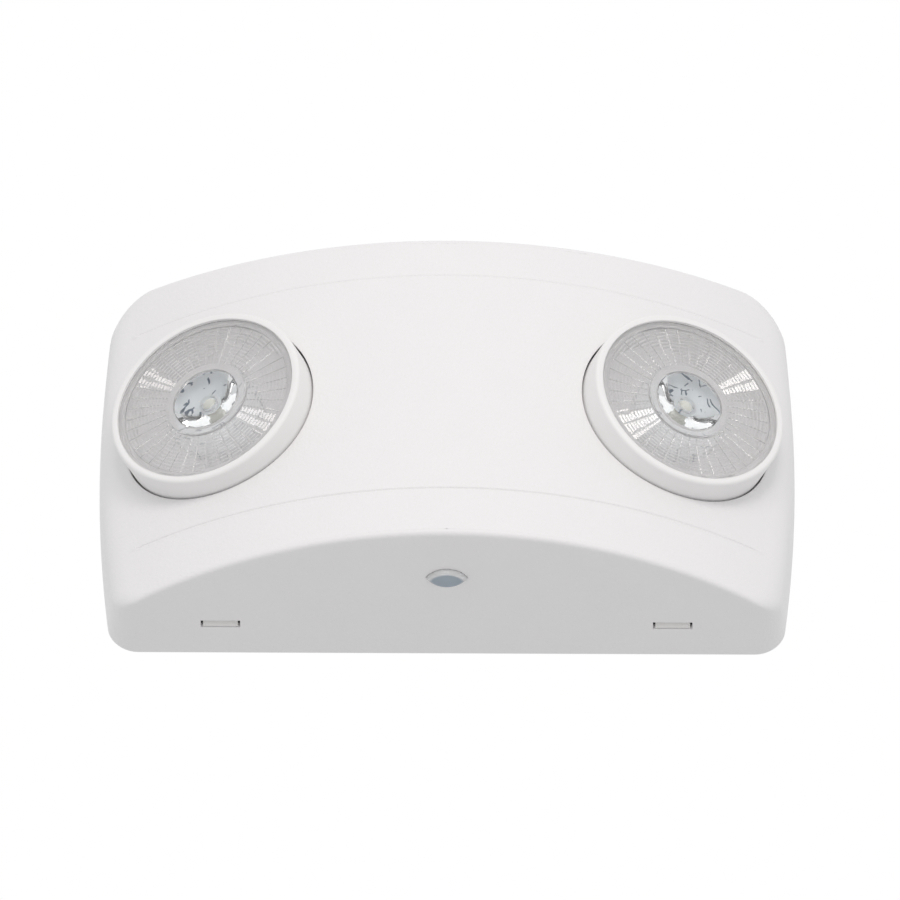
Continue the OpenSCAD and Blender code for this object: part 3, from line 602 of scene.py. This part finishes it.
def cover_mesh():
    """The two skins, the rim at the wall, the lamp collars, the openings' edges, the screw
    bosses and the posts that the drums' lugs meet at both ends of their turn. The edge of an
    opening is a quarter round."""
    h, s, b = housing(), lamp(), button()
    lip = h.opening_lip
    outer = Skin(h, 0.0, True, s.drum + s.gap + lip)
    inner = Skin(h, h.wall, False, s.collar, outer)
    for skin, edge in ((outer, lip), (inner, 0.0)):
        half_w, half_t = h.slot_width / 2, h.slot_gap / 2
        for side in (-1, 1):
            skin.opening(side, side * h.slot_x, h.slot_depth, half_w, half_t, slot_shape, edge)
        skin.opening("eye", 0.0, b.depth, b.width / 2, b.thickness / 2, eye_shape, edge)
        skin.close()
    parts = Parts()
    for skin in (outer, inner):
        parts.points += skin.parts.points
        parts.faces += [f + parts.count for f in skin.parts.faces]
        parts.count += skin.parts.count
    for name in outer.wall_grids:
        parts.grid(np.stack([outer.wall_grids[name][-1], inner.wall_grids[name][-1]]))
    a = np.linspace(0, math.pi / 2, EDGE_STEPS + 1)
    fillet = list(zip(lip * (1 - np.sin(a)), lip * (1 - np.cos(a))))
    for side, hole in outer.holes.items():
        angle, height = hole["angle"], hole["height"]
        rings = [(s.drum + s.gap + out, angle, height - down) for out, down in fillet]
        floor = np.full_like(height, -s.collar_back)
        rings += [(s.drum + s.gap, angle, floor), (s.collar, angle, floor)]
        rings.append((s.collar, inner.holes[side]["angle"], inner.holes[side]["height"]))
        parts.grid(np.stack([around(side, *ring) for ring in rings]), closed=True)
    for name, opening in outer.openings.items():
        rings = [opening["edge"](out) + (0.0, 0.0, down) for out, down in fillet]
        rings.append(inner.openings[name]["edge"](0.0))
        parts.grid(np.stack(rings), closed=True)
    for side in SIDES.values():
        for turn in BOSS_TURNS:
            screw_boss(parts, side, math.radians(turn))
        block_of(parts, side, POST_RADII, POST_TURNS, RING_FACE, None)
    return parts.mesh("cover_shell")


# Lamp heads

DRUM_STEPS, EMITTER_STEPS, DOME_ROWS = 200, 48, 9
FLANGE_BACK, FLANGE_FRONT, FLANGE_REACH = -0.0133, -0.0113, 0.0036
LUG_RISE, LUG_TURNS = (0.0026, 0.0052), (86, 94)
BOARD_TOP = 0.0016  # Height of the emitter's board
RIM_MARKS = ((0.03555, 0.03665, 289.0, 25.0), (0.03535, 0.03735, 112.0, 3.0))  # The bar, the key
MARK_RISE, COLLAR_RISE = 0.0003, 0.0005
COLLAR_IN = 0.0005  # From the collar's foot to the first prism
COLLAR_ROWS = np.array([0.00051, 0.0004])  # Rows at that foot
RIM_ROWS = [0.0353, 0.0354, 0.0355, 0.0356, 0.0366, 0.0367, 0.0373, 0.0374]  # At the marks' edges
FLUTE_COLUMNS = np.array([0.0, 0.06, 0.12, 0.31, 0.5, 0.69, 0.88, 0.94])  # Shares of a flute's pitch
LENS_GAP, HOLE_FLAT = 0.0002, 0.0015


def turned(side, profile, steps):
    """A profile of (radius, height) points turned once round the lamp's axis."""
    profile = np.asarray(profile, float)
    parts = Parts()
    parts.grid(around(side, profile[:, :1], full_turn(steps), profile[:, 1:]), closed=True)
    return parts


def arc(centre_r, centre_h, radius, start, end, steps=8):
    """Points of an arc in a profile."""
    a = np.radians(np.linspace(start, end, steps))
    return [(centre_r + radius * math.cos(t), centre_h + radius * math.sin(t)) for t in a]


def drum_profile(s):
    """The drum's section: its rear flange, its side, its rounded lip, a step and its bore."""
    flange, inner_round = s.drum + FLANGE_REACH, 0.0003
    profile = [(s.bore, FLANGE_BACK), (flange, FLANGE_BACK), (flange, FLANGE_FRONT)]
    profile += [(s.drum, FLANGE_FRONT), (s.drum, s.lip_rise - 2 * s.lip_round)]
    profile += arc(s.drum - s.lip_round, s.lip_rise - s.lip_round, s.lip_round, 0, 90)
    profile += arc(s.lip_radius + inner_round, s.lip_rise - inner_round, inner_round, 90, 180, steps=4)
    profile += [(s.lip_radius, s.lens_face), (s.bore, s.lens_face), (s.bore, FLANGE_BACK)]
    return profile


def drum_mesh(name, side):
    """The drum: its turned profile, and the lug on its flange that meets the stop post."""
    s = lamp()
    parts = turned(side, drum_profile(s), DRUM_STEPS)
    block_of(parts, side, [s.drum + rise for rise in LUG_RISE], LUG_TURNS, FLANGE_BACK, FLANGE_FRONT)
    return parts.mesh(name)


def turn_gap(angle, centre):
    """Distance of an angle from a centre given in degrees, the short way round."""
    return np.abs((angle - math.radians(centre) + math.pi) % (2 * math.pi) - math.pi)


def lens_relief(s, radius, angle):
    """Front of the lens, from its plain face: a raised collar, ring prisms that fall to a
    valley at each end of their pitch, V flutes, and a bar and a key on the rim."""
    tiny = 1e-6
    pitch = (s.prism_end - s.prism_start) / s.rings
    turn = (radius - s.prism_start) / pitch
    inside = (turn > -tiny) & (turn < s.rings + tiny)
    valley = np.abs(((turn + tiny) % 1) - 0.5) * pitch * math.tan(s.prism_slope) * inside
    off = np.abs((angle * s.flutes / (2 * math.pi) + 0.5) % 1 - 0.5) * 2 * math.pi / s.flutes
    flute = s.flute_cut * np.clip(1 - off * radius / s.flute_cut, 0, 1) * inside
    raised = COLLAR_RISE * (radius < s.prism_start - COLLAR_IN)
    for inner, outer, centre, span in RIM_MARKS:
        near = turn_gap(angle, centre) < math.radians(span / 2)
        raised = raised + MARK_RISE * ((radius > inner) & (radius < outer) & near)
    return raised - np.maximum(valley, flute)


def lens_mesh(name, side):
    """The lens: its worked front, its rim and hole, and a flat back, on one grid of radius
    and angle that has a row at each crest and valley and a column at each flute."""
    s = lamp()
    hole = s.optic + LENS_GAP
    collar = [hole, hole + HOLE_FLAT, *(s.prism_start - COLLAR_ROWS)]
    crests = np.linspace(s.prism_start, s.prism_end, 2 * s.rings + 1)
    front = np.concatenate([collar, crests, RIM_ROWS, [s.lip_radius, s.lens_radius]])
    back = [s.lens_radius, s.prism_end, s.prism_start, hole]
    angle = ((np.arange(s.flutes)[:, None] + FLUTE_COLUMNS) * 2 * math.pi / s.flutes).ravel()
    r, a = np.meshgrid(front, angle, indexing="ij")
    top = around(side, r, a, s.lens_face + lens_relief(s, r, a))
    r, a = np.meshgrid(back, angle, indexing="ij")
    under = around(side, r, a, s.lens_face - s.lens_thickness)
    return ring_mesh(name, [*top, *under, top[0]], sharp=8.0)


def optic_mesh(name, side):
    """The optic: a faceted cone that widens to a flat face, hollowed below for the emitter;
    the hollow ends in a faintly bulging window close over the emitter."""
    s = lamp()
    foot, hollow, crown, bulge, rim, edge = 0.005, 0.0034, 0.0048, 0.0001, 0.001, 0.0003
    wall_rows, window_rows = 5, 7
    k = np.linspace(0, 1, wall_rows)
    wall_r = foot + (s.optic - foot) * k
    wall_h = BOARD_TOP + (s.lens_face - rim - BOARD_TOP) * (k + k**2) / 2
    window = [(hollow * t, crown - bulge * (1 - t**2)) for t in np.linspace(1, 0, window_rows)]
    profile = [(0.0, s.lens_face), (s.optic - edge, s.lens_face), (s.optic, s.lens_face - edge)]
    profile += [*list(zip(wall_r, wall_h))[::-1], (hollow, BOARD_TOP), *window]
    return turned(side, profile, s.facets).mesh(name, sharp=9.0)


def emitter_mesh(name, side):
    """The emitter: its square package with softened corners, under a wide low dome."""
    step, half, widest, dome, rise, edge = 0.0025, 0.00208, 1.3, 0.0029, 0.00204, 0.0001
    a = full_turn(EMITTER_STEPS)
    square = half / np.maximum(np.abs(np.cos(a)), np.abs(np.sin(a)))
    square = np.minimum(square, half * widest)
    rings = [(square * 0, BOARD_TOP), (square, BOARD_TOP), (square, step - edge), (square - edge, step)]
    for t in np.radians(np.linspace(0, 90, DOME_ROWS)):
        rings.append((dome * math.cos(t), step + rise * math.sin(t)))
    return ring_mesh(name, [around(side, r, a, up) for r, up in rings], sharp=40.0)


BUTTON_STEPS = 96
CROWN_SHARES = np.array([0.0, 0.2, 0.4, 0.6, 0.72, 0.75, 0.79, 0.84, 0.89, 0.94, 0.975, 1.0])


def button_meshes():
    """The button's clear crown, nested eye outlines from its facet over its round shoulder
    and up its side, and the base behind it: its flange, its stem and the stem's pin."""
    h, b = housing(), button()
    low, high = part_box("test_button")
    facet, fall, steepest, joint = 0.72, 0.28, 0.985, 0.00005
    clearance, thick, grow = 0.0012, 0.0012, 0.0014
    stem, pin, pin_length = 0.0021, 0.00184, 0.0049
    half_w, half_t = b.width / 2 - b.gap, b.thickness / 2 - b.gap
    a = full_turn(BUTTON_STEPS)
    x, y = eye(a, half_w, half_t)
    shoulder = np.clip((CROWN_SHARES - facet) / fall, 0, 1)
    rise = b.crown * (1 - np.sqrt(1 - (steepest * shoulder) ** 2))
    flange, step = low.z + b.crown + h.wall + clearance, high.z - pin_length

    def nested(wide, deep, z):
        return place(wide * x, b.depth - deep * y, z)

    crown = [nested(k, k, low.z + up) for k, up in zip(CROWN_SHARES, rise)]
    crown += [nested(k, k, flange - joint) for k in (1.0, 0.0)]
    wide, deep = 1 + grow / half_w, 1 + grow / half_t
    base = [nested(0.0, 0.0, flange), nested(wide, deep, flange), nested(wide, deep, flange + thick)]
    for radius, z in ((stem, flange + thick), (stem, step), (pin, step), (pin, high.z), (0.0, high.z)):
        base.append(place(radius * np.cos(a), b.depth - radius * np.sin(a), z))
    return [ring_mesh(*item, sharp=30.0) for item in (("button_crown", crown), ("button_base", base))]


# Shader groups and materials


def add_node(tree, kind, inputs=None, **settings):
    """A shader node with its settings. inputs maps the name or place of a socket to the
    socket that feeds it, or to its value."""
    node = tree.nodes.new("ShaderNode" + kind)
    for key, value in settings.items():
        setattr(node, key, value)
    for key, value in (inputs or {}).items():
        if isinstance(value, bpy.types.NodeSocket):
            tree.links.new(value, node.inputs[key])
        else:
            node.inputs[key].default_value = value
    return node


def math_node(tree, operation, a, b, clamp=False):
    """A Math node fed by sockets or numbers, returned as its output."""
    return add_node(tree, "Math", {0: a, 1: b}, operation=operation, use_clamp=clamp).outputs[0]


def noise(tree, vector, scale, detail):
    """Noise at a scale, with a number of finer layers, returned as its output."""
    given = {"Vector": vector, "Scale": scale, "Detail": detail, "Roughness": 0.55}
    return add_node(tree, "TexNoise", given).outputs["Fac"]


def group_of(name, control, value, outputs):
    """A new shader group that takes a Vector and one control and puts out numbers: its
    tree, what it is given, and its own sockets to fill."""
    tree = bpy.data.node_groups.new(name, "ShaderNodeTree")
    tree.interface.new_socket("Vector", in_out="INPUT", socket_type="NodeSocketVector")
    kind = "NodeSocketFloat" if isinstance(value, float) else "NodeSocketVector"
    tree.interface.new_socket(control, in_out="INPUT", socket_type=kind).default_value = value
    for label in outputs:
        tree.interface.new_socket(label, in_out="OUTPUT", socket_type="NodeSocketFloat")
    return tree, tree.nodes.new("NodeGroupInput").outputs, tree.nodes.new("NodeGroupOutput").inputs


def grain_group():
    """Moulded leather grain: pebbles from distances between cell points, over fine noise."""
    tree, given, out = group_of("Leather Grain", "Size", 900.0, ("Height", "Mottle"))
    fine_scale, fine_share, mottle_scale = 2600.0, 0.6, 55.0
    vector = given["Vector"]
    cells = add_node(tree, "TexVoronoi", {"Vector": vector, "Scale": given["Size"]}, feature="SMOOTH_F1")
    fine = math_node(tree, "MULTIPLY", noise(tree, vector, fine_scale, detail=2.0), fine_share)
    pebble = math_node(tree, "SUBTRACT", 1.0, cells.outputs["Distance"])
    tree.links.new(math_node(tree, "ADD", pebble, fine), out["Height"])
    tree.links.new(noise(tree, vector, mottle_scale, detail=4.0), out["Mottle"])


def streak_group():
    """Drawn or wound streaks: noise stretched along one axis by its Stretch input."""
    tree, given, out = group_of("Streaks", "Stretch", (40.0, 900.0, 40.0), ("Height", "Mask"))
    threshold, contrast = 0.45, 5.0
    scaled = add_node(tree, "VectorMath", {0: given["Vector"], 1: given["Stretch"]}, operation="MULTIPLY")
    value = noise(tree, scaled.outputs[0], scale=1.0, detail=4.0)
    over = math_node(tree, "SUBTRACT", value, threshold)
    tree.links.new(value, out["Height"])
    tree.links.new(math_node(tree, "MULTIPLY", over, contrast, clamp=True), out["Mask"])


class Shade:
    """A material under way: its tree, its shader and its object coordinates."""

    def __init__(self, name, base, **sockets):
        self.material = bpy.data.materials.new(name)
        self.material.use_nodes = True
        self.tree = self.material.node_tree
        self.shader = self.tree.nodes["Principled BSDF"]
        self.base = base
        self.object = add_node(self.tree, "TexCoord").outputs["Object"]
        self.shader.inputs["Base Color"].default_value = (*base, 1)
        for key, value in sockets.items():
            self.shader.inputs[key.replace("_", " ")].default_value = value

    def link(self, output, socket):
        self.tree.links.new(output, self.shader.inputs[socket])

    def group(self, name, **values):
        """A shader group on the object coordinates, returned as its outputs."""
        tree = bpy.data.node_groups[name]
        return add_node(self.tree, "Group", {"Vector": self.object, **values}, node_tree=tree).outputs

    def mix(self, mask, low, high):
        """Colour between two colours, by a mask."""
        given = {0: mask, 6: (*low, 1), 7: (*high, 1)}
        self.link(add_node(self.tree, "Mix", given, data_type="RGBA").outputs[2], "Base Color")

    def tint(self, mask, dark, bright):
        """Colour between two shades of the base, by a mask."""
        self.mix(mask, [c * dark for c in self.base], [min(c * bright, 1) for c in self.base])

    def rough(self, mask, low, high):
        """Roughness between two values, by a mask."""
        span = math_node(self.tree, "MULTIPLY", mask, high - low)
        self.link(math_node(self.tree, "ADD", span, low), "Roughness")

    def bump(self, height, strength, distance):
        """Relief from a height, returned as the shade."""
        given = {"Strength": strength, "Distance": distance, "Height": height}
        self.link(add_node(self.tree, "Bump", given).outputs["Normal"], "Normal")
        return self


def moulded(name, base, roughness=0.5, size=900.0, strength=0.25):
    """Moulded plastic with a pebbled grain and a faint mottle in its colour."""
    shade = Shade(name, base, Roughness=roughness, Specular_IOR_Level=0.4)
    grain, swing = shade.group("Leather Grain", Size=size), 0.06
    shade.tint(grain["Mottle"], dark=0.985, bright=1.015)
    shade.rough(grain["Mottle"], roughness - swing, roughness + swing)
    return shade.bump(grain["Height"], strength, distance=0.0001).material


def streaked(shade, stretch, tints, roughness, strength, distance):
    """Streaks in the colour, the gloss and the surface of a shade, returned as its material."""
    streaks = shade.group("Streaks", Stretch=stretch)
    shade.tint(streaks["Mask"], *tints)
    shade.rough(streaks["Height"], *roughness)
    return shade.bump(streaks["Height"], strength, distance).material


def metal(name, base, roughness, stretch):
    """Bare metal with drawn streaks."""
    shade = Shade(name, base, Roughness=roughness, Metallic=1.0)
    tints, ends = (0.85, 1.08), (roughness - 0.1, roughness + 0.12)
    return streaked(shade, stretch, tints, ends, strength=0.2, distance=0.00005)


def wound(name, base, roughness, stretch):
    """Tape, sleeve or wire jacket: streaks along the way that it is wound or drawn."""
    shade = Shade(name, base, Roughness=roughness)
    tints, ends = (0.8, 1.12), (roughness - 0.08, roughness + 0.12)
    return streaked(shade, stretch, tints, ends, strength=0.25, distance=0.00008)


def board(name, base, track, scale=190.0, width=0.06, share=1.0):
    """Solder mask with gaps between its copper showing through: the edges of cells whose
    place is bent by a slow noise, kept on a share of the board."""
    shade = Shade(name, base, Roughness=0.35)
    tree, spot = shade.tree, shade.object
    bend_scale, keep_scale, swing, unevenness = 110.0, 260.0, (0.012, 0.012, -0.012), 0.75
    given = {0: noise(tree, spot, bend_scale, detail=1.0), 1: swing, 2: spot}
    bent = add_node(tree, "VectorMath", given, operation="MULTIPLY_ADD")
    given = {"Vector": bent.outputs[0], "Scale": scale, "Randomness": unevenness}
    cells = add_node(tree, "TexVoronoi", given, feature="DISTANCE_TO_EDGE")
    lines = math_node(tree, "LESS_THAN", cells.outputs["Distance"], width)
    if share < 1:
        patches = noise(tree, spot, keep_scale, detail=1.0)
        kept = math_node(tree, "GREATER_THAN", patches, 1 - share)
        lines = math_node(tree, "MULTIPLY", lines, kept)
    shade.mix(lines, base, track)
    return shade.bump(lines, strength=0.2, distance=0.00005).material


def clear(name, base, roughness, ior, clarity=1.0, specular=0.5):
    """Clear moulded plastic: its clarity is the share of light that passes straight through,
    and a faint flow ripple lies in its gloss and its surface. Returned as its shade."""
    shade = Shade(name, base, IOR=ior, Transmission_Weight=clarity, Specular_IOR_Level=specular)
    ripple_scale, smoother, rougher = 350.0, 0.6, 1.5
    ripple = noise(shade.tree, shade.object, ripple_scale, detail=2.0)
    shade.rough(ripple, roughness * smoother, roughness * rougher)
    return shade.bump(ripple, strength=0.05, distance=0.0001)


def button_crown_material():
    """The clear crown, with painted light in its colour: painted shade on its facet, where the dark inside
    shows through, and a near-white painted highlight on its shoulder and sides.
    """
    tone, painted_shade_tint, painted_highlight_tint, steepness = bpy.context.scene.finishes.button, (0.57, 0.64, 0.71), (1, 1, 1), 4000.0
    shade = clear("clear_button", tone, 0.02, ior=1.5, clarity=0.4, specular=0.9)
    height = add_node(shade.tree, "SeparateXYZ", {0: shade.object}).outputs["Z"]
    over = math_node(shade.tree, "SUBTRACT", height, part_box("test_button")[0].z)
    side = math_node(shade.tree, "MULTIPLY", over, steepness, clamp=True)
    # Painted shade on the facet, blending with height into a painted highlight on the shoulder and sides.
    shade.mix(side, [a * b for a, b in zip(painted_shade_tint, tone)], painted_highlight_tint)
    return shade.material


def button_base_material():
    """The base behind the clear crown, with painted light in its colour: dark blue-grey painted shade that
    shows through the crown in place of the dark inside, and a pale round painted highlight in its middle.
    """
    # The dark blue-grey is painted shade and the pale disc is a painted highlight, both seen through the
    # crown.
    painted_shade_colour, pale, painted_highlight_radius = (0.16, 0.23, 0.3), (0.93, 0.93, 0.95), 0.0036
    shade = Shade("button_painted_shade_and_highlight", painted_shade_colour, Roughness=0.3)
    given = {0: shade.object, 1: (1.0, 1.0, 0.0)}
    flat = add_node(shade.tree, "VectorMath", given, operation="MULTIPLY")
    given = {0: flat.outputs[0], 1: (0.0, -button().depth, 0.0)}
    away = add_node(shade.tree, "VectorMath", given, operation="DISTANCE").outputs["Value"]
    # Painted highlight inside the radius, painted shade outside it.
    shade.mix(math_node(shade.tree, "LESS_THAN", away, painted_highlight_radius), painted_shade_colour, pale)
    grain = shade.group("Leather Grain", Size=1600.0)
    return shade.bump(grain["Height"], strength=0.1, distance=0.0001).material


# Operators

FLOOR_SIZE, FLOOR_LEVEL, FLOOR_CELLS, FLOOR_WAVE = 3.0, -0.6, 24, 0.002
FLOOR_COLOUR = (0.8, 0.8, 0.8)
FILL_COLOUR, FILL_STRENGTH = (0.985, 0.99, 1.0, 1), 0.755
BOX_COLOUR = (1.0, 0.96, 0.94)
SOFT_BOXES = {  # Each one's place, size and power
    "left_box": ((-0.2, -1.5, 0.16), (0.28, 0.4), 1.9),
    "right_box": ((0.22, -1.5, 0.16), (0.36, 0.46), 4.2),
}
PIXELS, PIXELS_PER_METRE = 900, 2518.0
ORIGIN_X, ORIGIN_Y = 447.3, 495.4  # Where the origin lies in the picture
LOOK_UP, ROLL = math.radians(38.0), math.radians(0.24)
CAMERA_REACH, CLIP_NEAR, CLIP_FAR = 0.6, 0.01, 20.0


class EMERGENCY_OT_stage(Operator):
    """Build the floor, the lights, the background and the camera"""

    bl_idname = "emergency.stage"
    bl_label = "Stage"

    def execute(self, context):
        context.scene.view_settings.view_transform = "Standard"
        self.floor()
        self.lights()
        context.scene.world = self.world()
        context.scene.camera = self.camera()
        return {"FINISHED"}

    def floor(self):
        """A pale sheet well below the light, a little wavy so that it isn't a hard plane."""
        line = np.linspace(-FLOOR_SIZE, FLOOR_SIZE, FLOOR_CELLS)
        x, y = np.meshgrid(line, line)
        z = FLOOR_LEVEL + FLOOR_WAVE * np.sin(3 * x) * np.cos(2 * y)
        parts = Parts()
        parts.grid(np.stack([x, y, z], axis=-1))
        floor = put(parts.mesh("studio_floor"))
        shade = Shade("studio_floor", FLOOR_COLOUR, Roughness=0.9)
        shade.tint(shade.group("Leather Grain", Size=60.0)["Mottle"], dark=0.99, bright=1.01)
        floor.data.materials.append(shade.material)

    def world(self):
        """Plain white behind the light and in its reflections, and a softer fill."""
        world = bpy.data.worlds.new("studio")
        world.use_nodes = True
        tree = world.node_tree
        tree.nodes.clear()
        path = add_node(tree, "LightPath").outputs
        seen = math_node(tree, "MAXIMUM", path["Is Camera Ray"], path["Is Glossy Ray"])
        seen = math_node(tree, "MAXIMUM", seen, path["Is Transmission Ray"])
        fill = add_node(tree, "Background", {"Color": FILL_COLOUR, "Strength": FILL_STRENGTH})
        plain = add_node(tree, "Background", {"Color": (1, 1, 1, 1)})
        mix = add_node(tree, "MixShader", {0: seen, 1: fill.outputs[0], 2: plain.outputs[0]})
        add_node(tree, "OutputWorld", {0: mix.outputs[0]})
        return world

    def lights(self):
        """Two soft boxes in front, one at each side of the middle."""
        for name, (spot, size, power) in SOFT_BOXES.items():
            data = bpy.data.lights.new(name, "AREA")
            data.shape = "RECTANGLE"
            data.size, data.size_y = size
            data.energy = power
            data.color = BOX_COLOUR
            light = put(data)
            light.location = spot
            light.rotation_mode = "QUATERNION"
            light.rotation_quaternion = (-Vector(spot)).to_track_quat("-Z", "Y")

    def camera(self):
        """A distant camera, in front and below, that looks up at the light."""
        up = Vector((0, -math.sin(LOOK_UP), math.cos(LOOK_UP)))
        back = Vector((0, -math.cos(LOOK_UP), -math.sin(LOOK_UP)))
        target = Vector(((PIXELS / 2 - ORIGIN_X) / PIXELS_PER_METRE, 0, 0))
        target += up * ((ORIGIN_Y - PIXELS / 2) / PIXELS_PER_METRE)
        data = bpy.data.cameras.new("camera")
        data.type = "ORTHO"
        data.ortho_scale = PIXELS / PIXELS_PER_METRE
        data.clip_start, data.clip_end = CLIP_NEAR, CLIP_FAR
        camera = put(data)
        camera.location = target + back * CAMERA_REACH
        camera.rotation_mode = "QUATERNION"
        camera.rotation_quaternion = back.to_track_quat("Z", "Y")
        camera.rotation_quaternion.rotate(Quaternion(back, ROLL))
        return camera


class EMERGENCY_OT_cover(Operator):
    """Build the smooth arched cover"""

    bl_idname = "emergency.cover"
    bl_label = "Cover"

    def execute(self, context):
        material = moulded("housing_white", context.scene.finishes.housing, strength=0.8)
        add_piece(cover_mesh(), "housing", ["front_cover"], material)
        return {"FINISHED"}


class EMERGENCY_OT_lamp_heads(Operator):
    """Build the drums, lenses, optics and emitters of both lamps"""

    bl_idname = "emergency.lamp_heads"
    bl_label = "Lamp heads"

    def execute(self, context):
        finishes = context.scene.finishes
        drum = moulded("drum_white", finishes.drum, roughness=0.42, size=1400.0, strength=0.12)
        lens = clear("clear_lens", finishes.lens, 0.025, ior=1.58, clarity=0.75, specular=0.9).material
        optic = clear("clear_optic", finishes.optic, 0.01, ior=1.49).material
        phosphor = moulded("phosphor", finishes.phosphor, roughness=0.15, size=3000.0, strength=0.03)
        pieces = (
            ("_drum", drum_mesh, "_lamp_shell", "housing_white", drum),
            ("_lens_plate", lens_mesh, "_lens", "clear_lens", lens),
            ("_optic_cone", optic_mesh, "_optic", "clear_lens", optic),
            ("_emitter_dome", emitter_mesh, "_led_emitter", "led_yellow", phosphor),
        )
        for lamp_name, side in SIDES.items():
            for tail, make, node, slot, material in pieces:
                mesh = make(lamp_name + tail, side)
                add_piece(mesh, lamp_name + "_head", [lamp_name + node], material)
        return {"FINISHED"}


class EMERGENCY_OT_button(Operator):
    """Build the clear test button"""

    bl_idname = "emergency.button"
    bl_label = "Test button"

    def execute(self, context):
        crown, base = button_meshes()
        add_piece(crown, "button", ["test_button"], button_crown_material())
        add_piece(base, "button", [], button_base_material())
        return {"FINISHED"}


# The finish of each carried-over solid: its maker, its name, its colour and the maker's other
# values. These are the roughness, grain size and grain strength for moulded, the roughness and
# the streaks' stretch for metal and wound, and the colour, scale, width and share of the lines
# for board. A name that begins with _ is a node on each side.
NODE_FINISHES = {
    "_led_board": (board, "board_white", (0.95, 0.975, 1.0), (0.12, 0.16, 0.22), 170.0, 0.055, 0.45),
    "_heat_sink": (metal, "aluminium", (0.78, 0.79, 0.8), 0.4, (40.0, 900.0, 40.0)),
    "_rear_cap": (moulded, "cap_white", (0.75, 0.74, 0.72), 0.5, 1200.0, 0.15),
    "_lamp_plug": (moulded, "nylon", (0.8, 0.76, 0.64), 0.45, 1800.0, 0.1),
    "_retaining_ring": (moulded, "ring_white", (0.76, 0.75, 0.73), 0.5, 1200.0, 0.15),
    "_lamp_lead": (wound, "lead_red", (0.42, 0.03, 0.025), 0.4, (60.0, 700.0, 700.0)),
    "back_plate": (moulded, "plate_white", (0.8, 0.79, 0.775), 0.55, 1100.0, 0.2),
    "battery_pack": (wound, "sleeve_blue", (0.03, 0.08, 0.32), 0.28, (500.0, 60.0, 60.0)),
    "battery_strap": (moulded, "strap_black", (0.02, 0.02, 0.022), 0.5, 1500.0, 0.3),
    "battery_lead": (wound, "lead_black", (0.02, 0.02, 0.022), 0.42, (500.0, 500.0, 80.0)),
    "circuit_board": (board, "board_green", (0.015, 0.13, 0.05), (0.03, 0.22, 0.08)),
    "transformer_core": (metal, "core_steel", (0.3, 0.31, 0.33), 0.5, (60.0, 900.0, 60.0)),
    "transformer_coil": (wound, "coil_tape", (0.55, 0.38, 0.04), 0.3, (60.0, 60.0, 900.0)),
    "relay": (moulded, "relay_blue", (0.02, 0.1, 0.35), 0.35, 2000.0, 0.1),
    "capacitors": (wound, "can_sleeve", (0.015, 0.016, 0.04), 0.3, (60.0, 500.0, 60.0)),
    "terminal_block": (moulded, "terminal_green", (0.02, 0.2, 0.07), 0.45, 1800.0, 0.2),
    "lead_sockets": (moulded, "socket_nylon", (0.8, 0.76, 0.64), 0.45, 1800.0, 0.15),
    "board_screws _ring_screws": (metal, "zinc_steel", (0.72, 0.72, 0.7), 0.35, (900.0, 900.0, 40.0)),
    "test_switch": (moulded, "switch_black", (0.025, 0.025, 0.028), 0.45, 1600.0, 0.2),
    "status_led": (moulded, "led_green", (0.1, 0.55, 0.12), 0.25, 3000.0, 0.05),
}


def dress(names, material):
    """Gives a finish to the carried-over solids of the names, set apart by spaces."""
    for name in names.split():
        for node in [side + name for side in SIDES] if name[0] == "_" else [name]:
            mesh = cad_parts[node].data
            mesh.materials.clear()
            mesh.materials.append(material)


class EMERGENCY_OT_finishes(Operator):
    """Give each carried-over solid its own finish"""

    bl_idname = "emergency.finishes"
    bl_label = "Finishes"

    def execute(self, context):
        base = context.scene.finishes.tray
        dress("_lamp_tray", moulded("tray_white", base, roughness=0.5, size=1500.0, strength=0.1))
        for names, (make, *values) in NODE_FINISHES.items():
            dress(names, make(*values))
        return {"FINISHED"}


class EMERGENCY_PT_panel(Panel):
    """Lists the steps that build the light"""

    bl_label = "Emergency Light"
    bl_space_type = "VIEW_3D"
    bl_region_type = "UI"
    bl_category = "Emergency Light"

    def draw(self, context):
        for step in STEPS:
            self.layout.operator(step.bl_idname)


SETTINGS = {
    "housing_sizes": HousingSizes,
    "lamp_sizes": LampSizes,
    "button_sizes": ButtonSizes,
    "finishes": Finishes,
}
STEPS = (
    EMERGENCY_OT_stage,
    EMERGENCY_OT_cover,
    EMERGENCY_OT_lamp_heads,
    EMERGENCY_OT_button,
    EMERGENCY_OT_finishes,
)


def register():
    for cls in (*SETTINGS.values(), *STEPS, EMERGENCY_PT_panel):
        bpy.utils.register_class(cls)
    for name, cls in SETTINGS.items():
        setattr(bpy.types.Scene, name, PointerProperty(type=cls))


def unregister():
    for name in SETTINGS:
        delattr(bpy.types.Scene, name)
    for cls in reversed((*SETTINGS.values(), *STEPS, EMERGENCY_PT_panel)):
        bpy.utils.unregister_class(cls)


def main():
    register()
    grain_group()
    streak_group()
    bpy.ops.emergency.stage()
    bpy.ops.emergency.cover()
    bpy.ops.emergency.lamp_heads()
    bpy.ops.emergency.button()
    bpy.ops.emergency.finishes()


if __name__ == "__main__":
    main()
